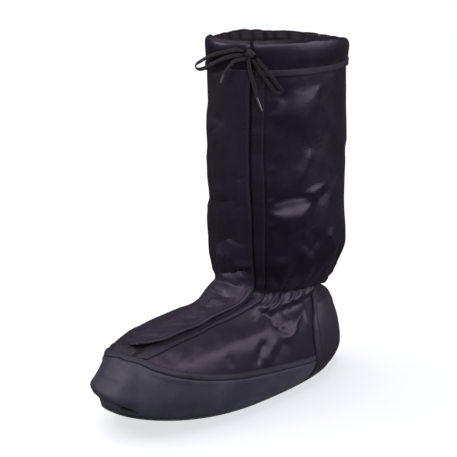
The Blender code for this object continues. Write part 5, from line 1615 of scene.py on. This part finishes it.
LACE_W, LACE_T = 3.9, 1.15
lm, lm_path, lm_len = ribbon("bow_loop_inner", LOOP_MED, LACE_W, LACE_T, ((0, 0), (0.35, 10), (0.55, 30), (0.75, -12), (1, 0)), (5, 5))
ll, ll_path, ll_len = ribbon("bow_loop_outer", LOOP_LAT, LACE_W, LACE_T, ((0, 0), (0.42, 12), (0.55, -16), (1, 0)), (5, 5))
em, em_path, em_len = ribbon("bow_end_inner", ((30.6, 348.4, 8.4),) + END_MED, LACE_W, LACE_T, ((0, 0), (0.5, 15), (1, 35)), (5, 3))
el, el_path, el_len = ribbon("bow_end_outer", ((31.0, 348.6, 8.4),) + END_LAT, LACE_W, LACE_T, ((0, 0), (0.5, -18), (1, 20)), (5, 4))


def tip(name, ends, radius):
    a, b = [S.point(*row) for row in ends]
    axis = (b - a) / np.linalg.norm(b - a)
    side_ = np.cross(axis, [0.0, 0.0, 1.0])
    side_ /= np.linalg.norm(side_)
    up_ = np.cross(axis, side_)
    long_ = np.linalg.norm(b - a)
    rings_ = ((-0.06, 1.12, 0.7), (0.02, 1.10, 0.85), (0.06, 1.0, 1.0), (0.18, 0.97, 1.0), (0.22, 0.92, 1.0), (0.26, 0.97, 1.0), (0.80, 0.90, 1.0), (0.93, 0.84, 1.0), (0.985, 0.62, 1.0), (1.0, 0.30, 1.0))
    n_ = 20
    pts_, faces_, uv_ = [], [], []
    for share_, r_, flat in rings_:
        for k in range(n_):
            t_ = 2 * math.pi * k / n_
            pts_.append(a + axis * long_ * share_ + (side_ * math.cos(t_) + up_ * math.sin(t_) * flat) * radius * r_)
            uv_.append((share_ * long_, k * 0.35))
    for i in range(len(rings_) - 1):
        for k in range(n_):
            m = (k + 1) % n_
            faces_.append((i * n_ + k, (i + 1) * n_ + k, (i + 1) * n_ + m, i * n_ + m))
    faces_.append(tuple(range(n_)))
    faces_.append(tuple(reversed(range((len(rings_) - 1) * n_, len(rings_) * n_))))
    return new_piece(name, pts_, faces_, TIP_MAT, np.array(uv_), 50)


tip_m = tip("bow_tip_inner", AGLET_MED, AGLET_R)
tip_l = tip("bow_tip_outer", AGLET_LAT, AGLET_R)

# knot: wraps of the same flat lace round its core
centre = S.point(*KNOT_AT)
foot_of = S.point(KNOT_AT[0], KNOT_AT[1] - 6.0, 0.0)
out_dir = S.point(KNOT_AT[0], KNOT_AT[1] - 6.0, 1.0) - foot_of
out_dir[2] = 0.0
out_dir /= np.linalg.norm(out_dir)
up_dir = np.array([0.0, 0.0, 1.0])
side_dir = np.cross(up_dir, out_dir)
kp, kf, ku = [], [], []


def wrap(axis, radius_a, radius_b, wide, thick, shift, lean_):
    """One turn of lace round the core about an axis."""
    a_dir = axis / np.linalg.norm(axis)
    x_dir = out_dir - a_dir * np.dot(out_dir, a_dir)
    x_dir /= np.linalg.norm(x_dir)
    y_dir = np.cross(a_dir, x_dir)
    n_ = 44
    start_ = len(kp)
    for i in range(n_):
        t_ = 2 * math.pi * i / n_
        rad = x_dir * math.cos(t_) * radius_a + y_dir * math.sin(t_) * radius_b
        nrm = x_dir * math.cos(t_) / radius_a + y_dir * math.sin(t_) / radius_b
        nrm /= np.linalg.norm(nrm)
        c_ = centre + rad + a_dir * (shift + lean_ * math.sin(t_))
        for m in range(14):
            a = 2 * math.pi * m / 14
            x_ = np.sign(math.cos(a)) * abs(math.cos(a)) ** 0.6
            y_ = np.sign(math.sin(a)) * abs(math.sin(a)) ** 0.8
            kp.append(c_ + a_dir * x_ * wide / 2 + nrm * (y_ * thick / 2 + 0.3 * (1 - x_ * x_)))
            ku.append((t_ * radius_a, 20 + m * 0.6))
    for i in range(n_):
        for m in range(14):
            q, w_ = (m + 1) % 14, (i + 1) % n_
            kf.append((start_ + i * 14 + m, start_ + i * 14 + q, start_ + w_ * 14 + q, start_ + w_ * 14 + m))


wrap(side_dir + 0.25 * up_dir, 2.5, 3.4, 3.9, 1.3, 0.1, 0.5)
wrap(side_dir - 0.55 * up_dir, 2.0, 2.8, 3.4, 1.3, -2.0, -0.6)
wrap(side_dir * 0.9 + 0.75 * up_dir, 2.0, 2.7, 3.4, 1.3, 2.0, 0.5)
start_ = len(kp)
R_, G_ = 12, 22
for i in range(1, R_):
    a = math.pi * i / R_
    for k in range(G_):
        t_ = 2 * math.pi * k / G_
        kp.append(centre + side_dir * 3.9 * math.cos(a) + up_dir * 3.2 * math.sin(a) * math.cos(t_) + out_dir * 2.3 * math.sin(a) * math.sin(t_))
        ku.append((i * 1.2, k * 0.7))
kp.append(centre + side_dir * 3.9)
kp.append(centre - side_dir * 3.9)
ku += [(0, 0), (12, 0)]
for i in range(R_ - 2):
    for k in range(G_):
        m = (k + 1) % G_
        kf.append((start_ + i * G_ + k, start_ + i * G_ + m, start_ + (i + 1) * G_ + m, start_ + (i + 1) * G_ + k))
for k in range(G_):
    m = (k + 1) % G_
    kf.append((len(kp) - 2, start_ + m, start_ + k))
    kf.append((len(kp) - 1, start_ + (R_ - 2) * G_ + k, start_ + (R_ - 2) * G_ + m))
knot = new_piece("bow_knot", kp, kf, LACE, np.array(ku), 75)

# ---- who stands for what ----
for name, nodes, finish_slot in (
    ("boot_cloth", ("upper",), "nylon"), ("boot_lining", (), "nylon"), ("rand_skin", ("rand",), "coated_fabric"),
    ("heel_skin", ("heel_counter",), "coated_fabric"), ("front_strip", ("placket_tape",), "tape"),
    ("front_flap", ("placket_flap",), "nylon"), ("collar_fold", ("collar_casing",), "nylon"),
    ("collar_binding", (), "tape"), ("sole_plate", ("outsole",), "sole_rubber"), ("seam_threads", (), "tape"),
    ("bow_knot", ("lace_knot",), "lace"), ("bow_loop_inner", ("lace_loop_med",), "lace"),
    ("bow_loop_outer", ("lace_loop_lat",), "lace"), ("bow_end_inner", ("lace_end_med",), "lace"),
    ("bow_end_outer", ("lace_end_lat",), "lace"), ("bow_tip_inner", ("aglet_med",), "aglet"),
    ("bow_tip_outer", ("aglet_lat",), "aglet"),
):
    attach(made[name], "root")
    if nodes:
        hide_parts(*nodes)

# ---- floor and light ----
floor_mat = Nodes("pale_floor")
fo = floor_mat.coords("Object")
floor_mat.bump(floor_mat.noise(fo, 8.0, 2.0), 0.02, 0.0004)
floor_rough = floor_mat.range(floor_mat.noise(fo, 3.0, 2.0), 0.3, 0.7, FLOOR_ROUGH[0], FLOOR_ROUGH[1])
floor_mat.set(Base_Color=FLOOR_COLOUR, Specular_IOR_Level=0.5, Emission_Color=(0.95, 0.96, 1.0), Emission_Strength=FLOOR_GLOW)
floor_mat.done(None, floor_rough)
mesh = bpy.data.meshes.new("floor")
mesh.from_pydata([(-6, -6, FLOOR_Z), (6, -6, FLOOR_Z), (6, 6, FLOOR_Z), (-6, 6, FLOOR_Z)], [], [(0, 1, 2, 3)])
mesh.materials.append(floor_mat.mat)
floor = bpy.data.objects.new("floor", mesh)
bpy.context.scene.collection.objects.link(floor)
floor.visible_glossy = False

world = bpy.data.worlds.new("studio")
world.use_nodes = True
world.node_tree.nodes["Background"].inputs["Color"].default_value = WORLD_COLOUR
world.node_tree.nodes["Background"].inputs["Strength"].default_value = WORLD_STRENGTH
bpy.context.scene.world = world


def area(name, at, to, size, power, colour=(1.0, 1.0, 1.0)):
    data = bpy.data.lights.new(name, "AREA")
    data.shape = "RECTANGLE"
    data.size, data.size_y = size
    data.energy = power
    data.color = colour
    obj = bpy.data.objects.new(name, data)
    obj.location = at
    obj.rotation_mode = "QUATERNION"
    obj.rotation_quaternion = (Vector(to) - Vector(at)).to_track_quat("-Z", "Y")
    bpy.context.scene.collection.objects.link(obj)
    return obj


boot_only = bpy.data.collections.new("boot_only")
for obj in made.values():
    boot_only.objects.link(obj)
for row in LIGHTS:
    area(*row).light_linking.receiver_collection = boot_only
sky = bpy.data.lights.new("soft_top", "SUN")
sky.energy = SKY_POWER
sky.angle = math.radians(SKY_ANGLE)
sky_obj = bpy.data.objects.new("soft_top", sky)
sky_obj.rotation_mode = "QUATERNION"
sky_obj.rotation_quaternion = Vector(SKY_FROM).to_track_quat("Z", "Y")
sky_obj.location = (0.0, 0.0, 2.5)
bpy.context.scene.collection.objects.link(sky_obj)

scene = bpy.context.scene
scene.view_settings.view_transform = "Standard"
scene.view_settings.look = "None"
scene.view_settings.exposure = EXPOSURE
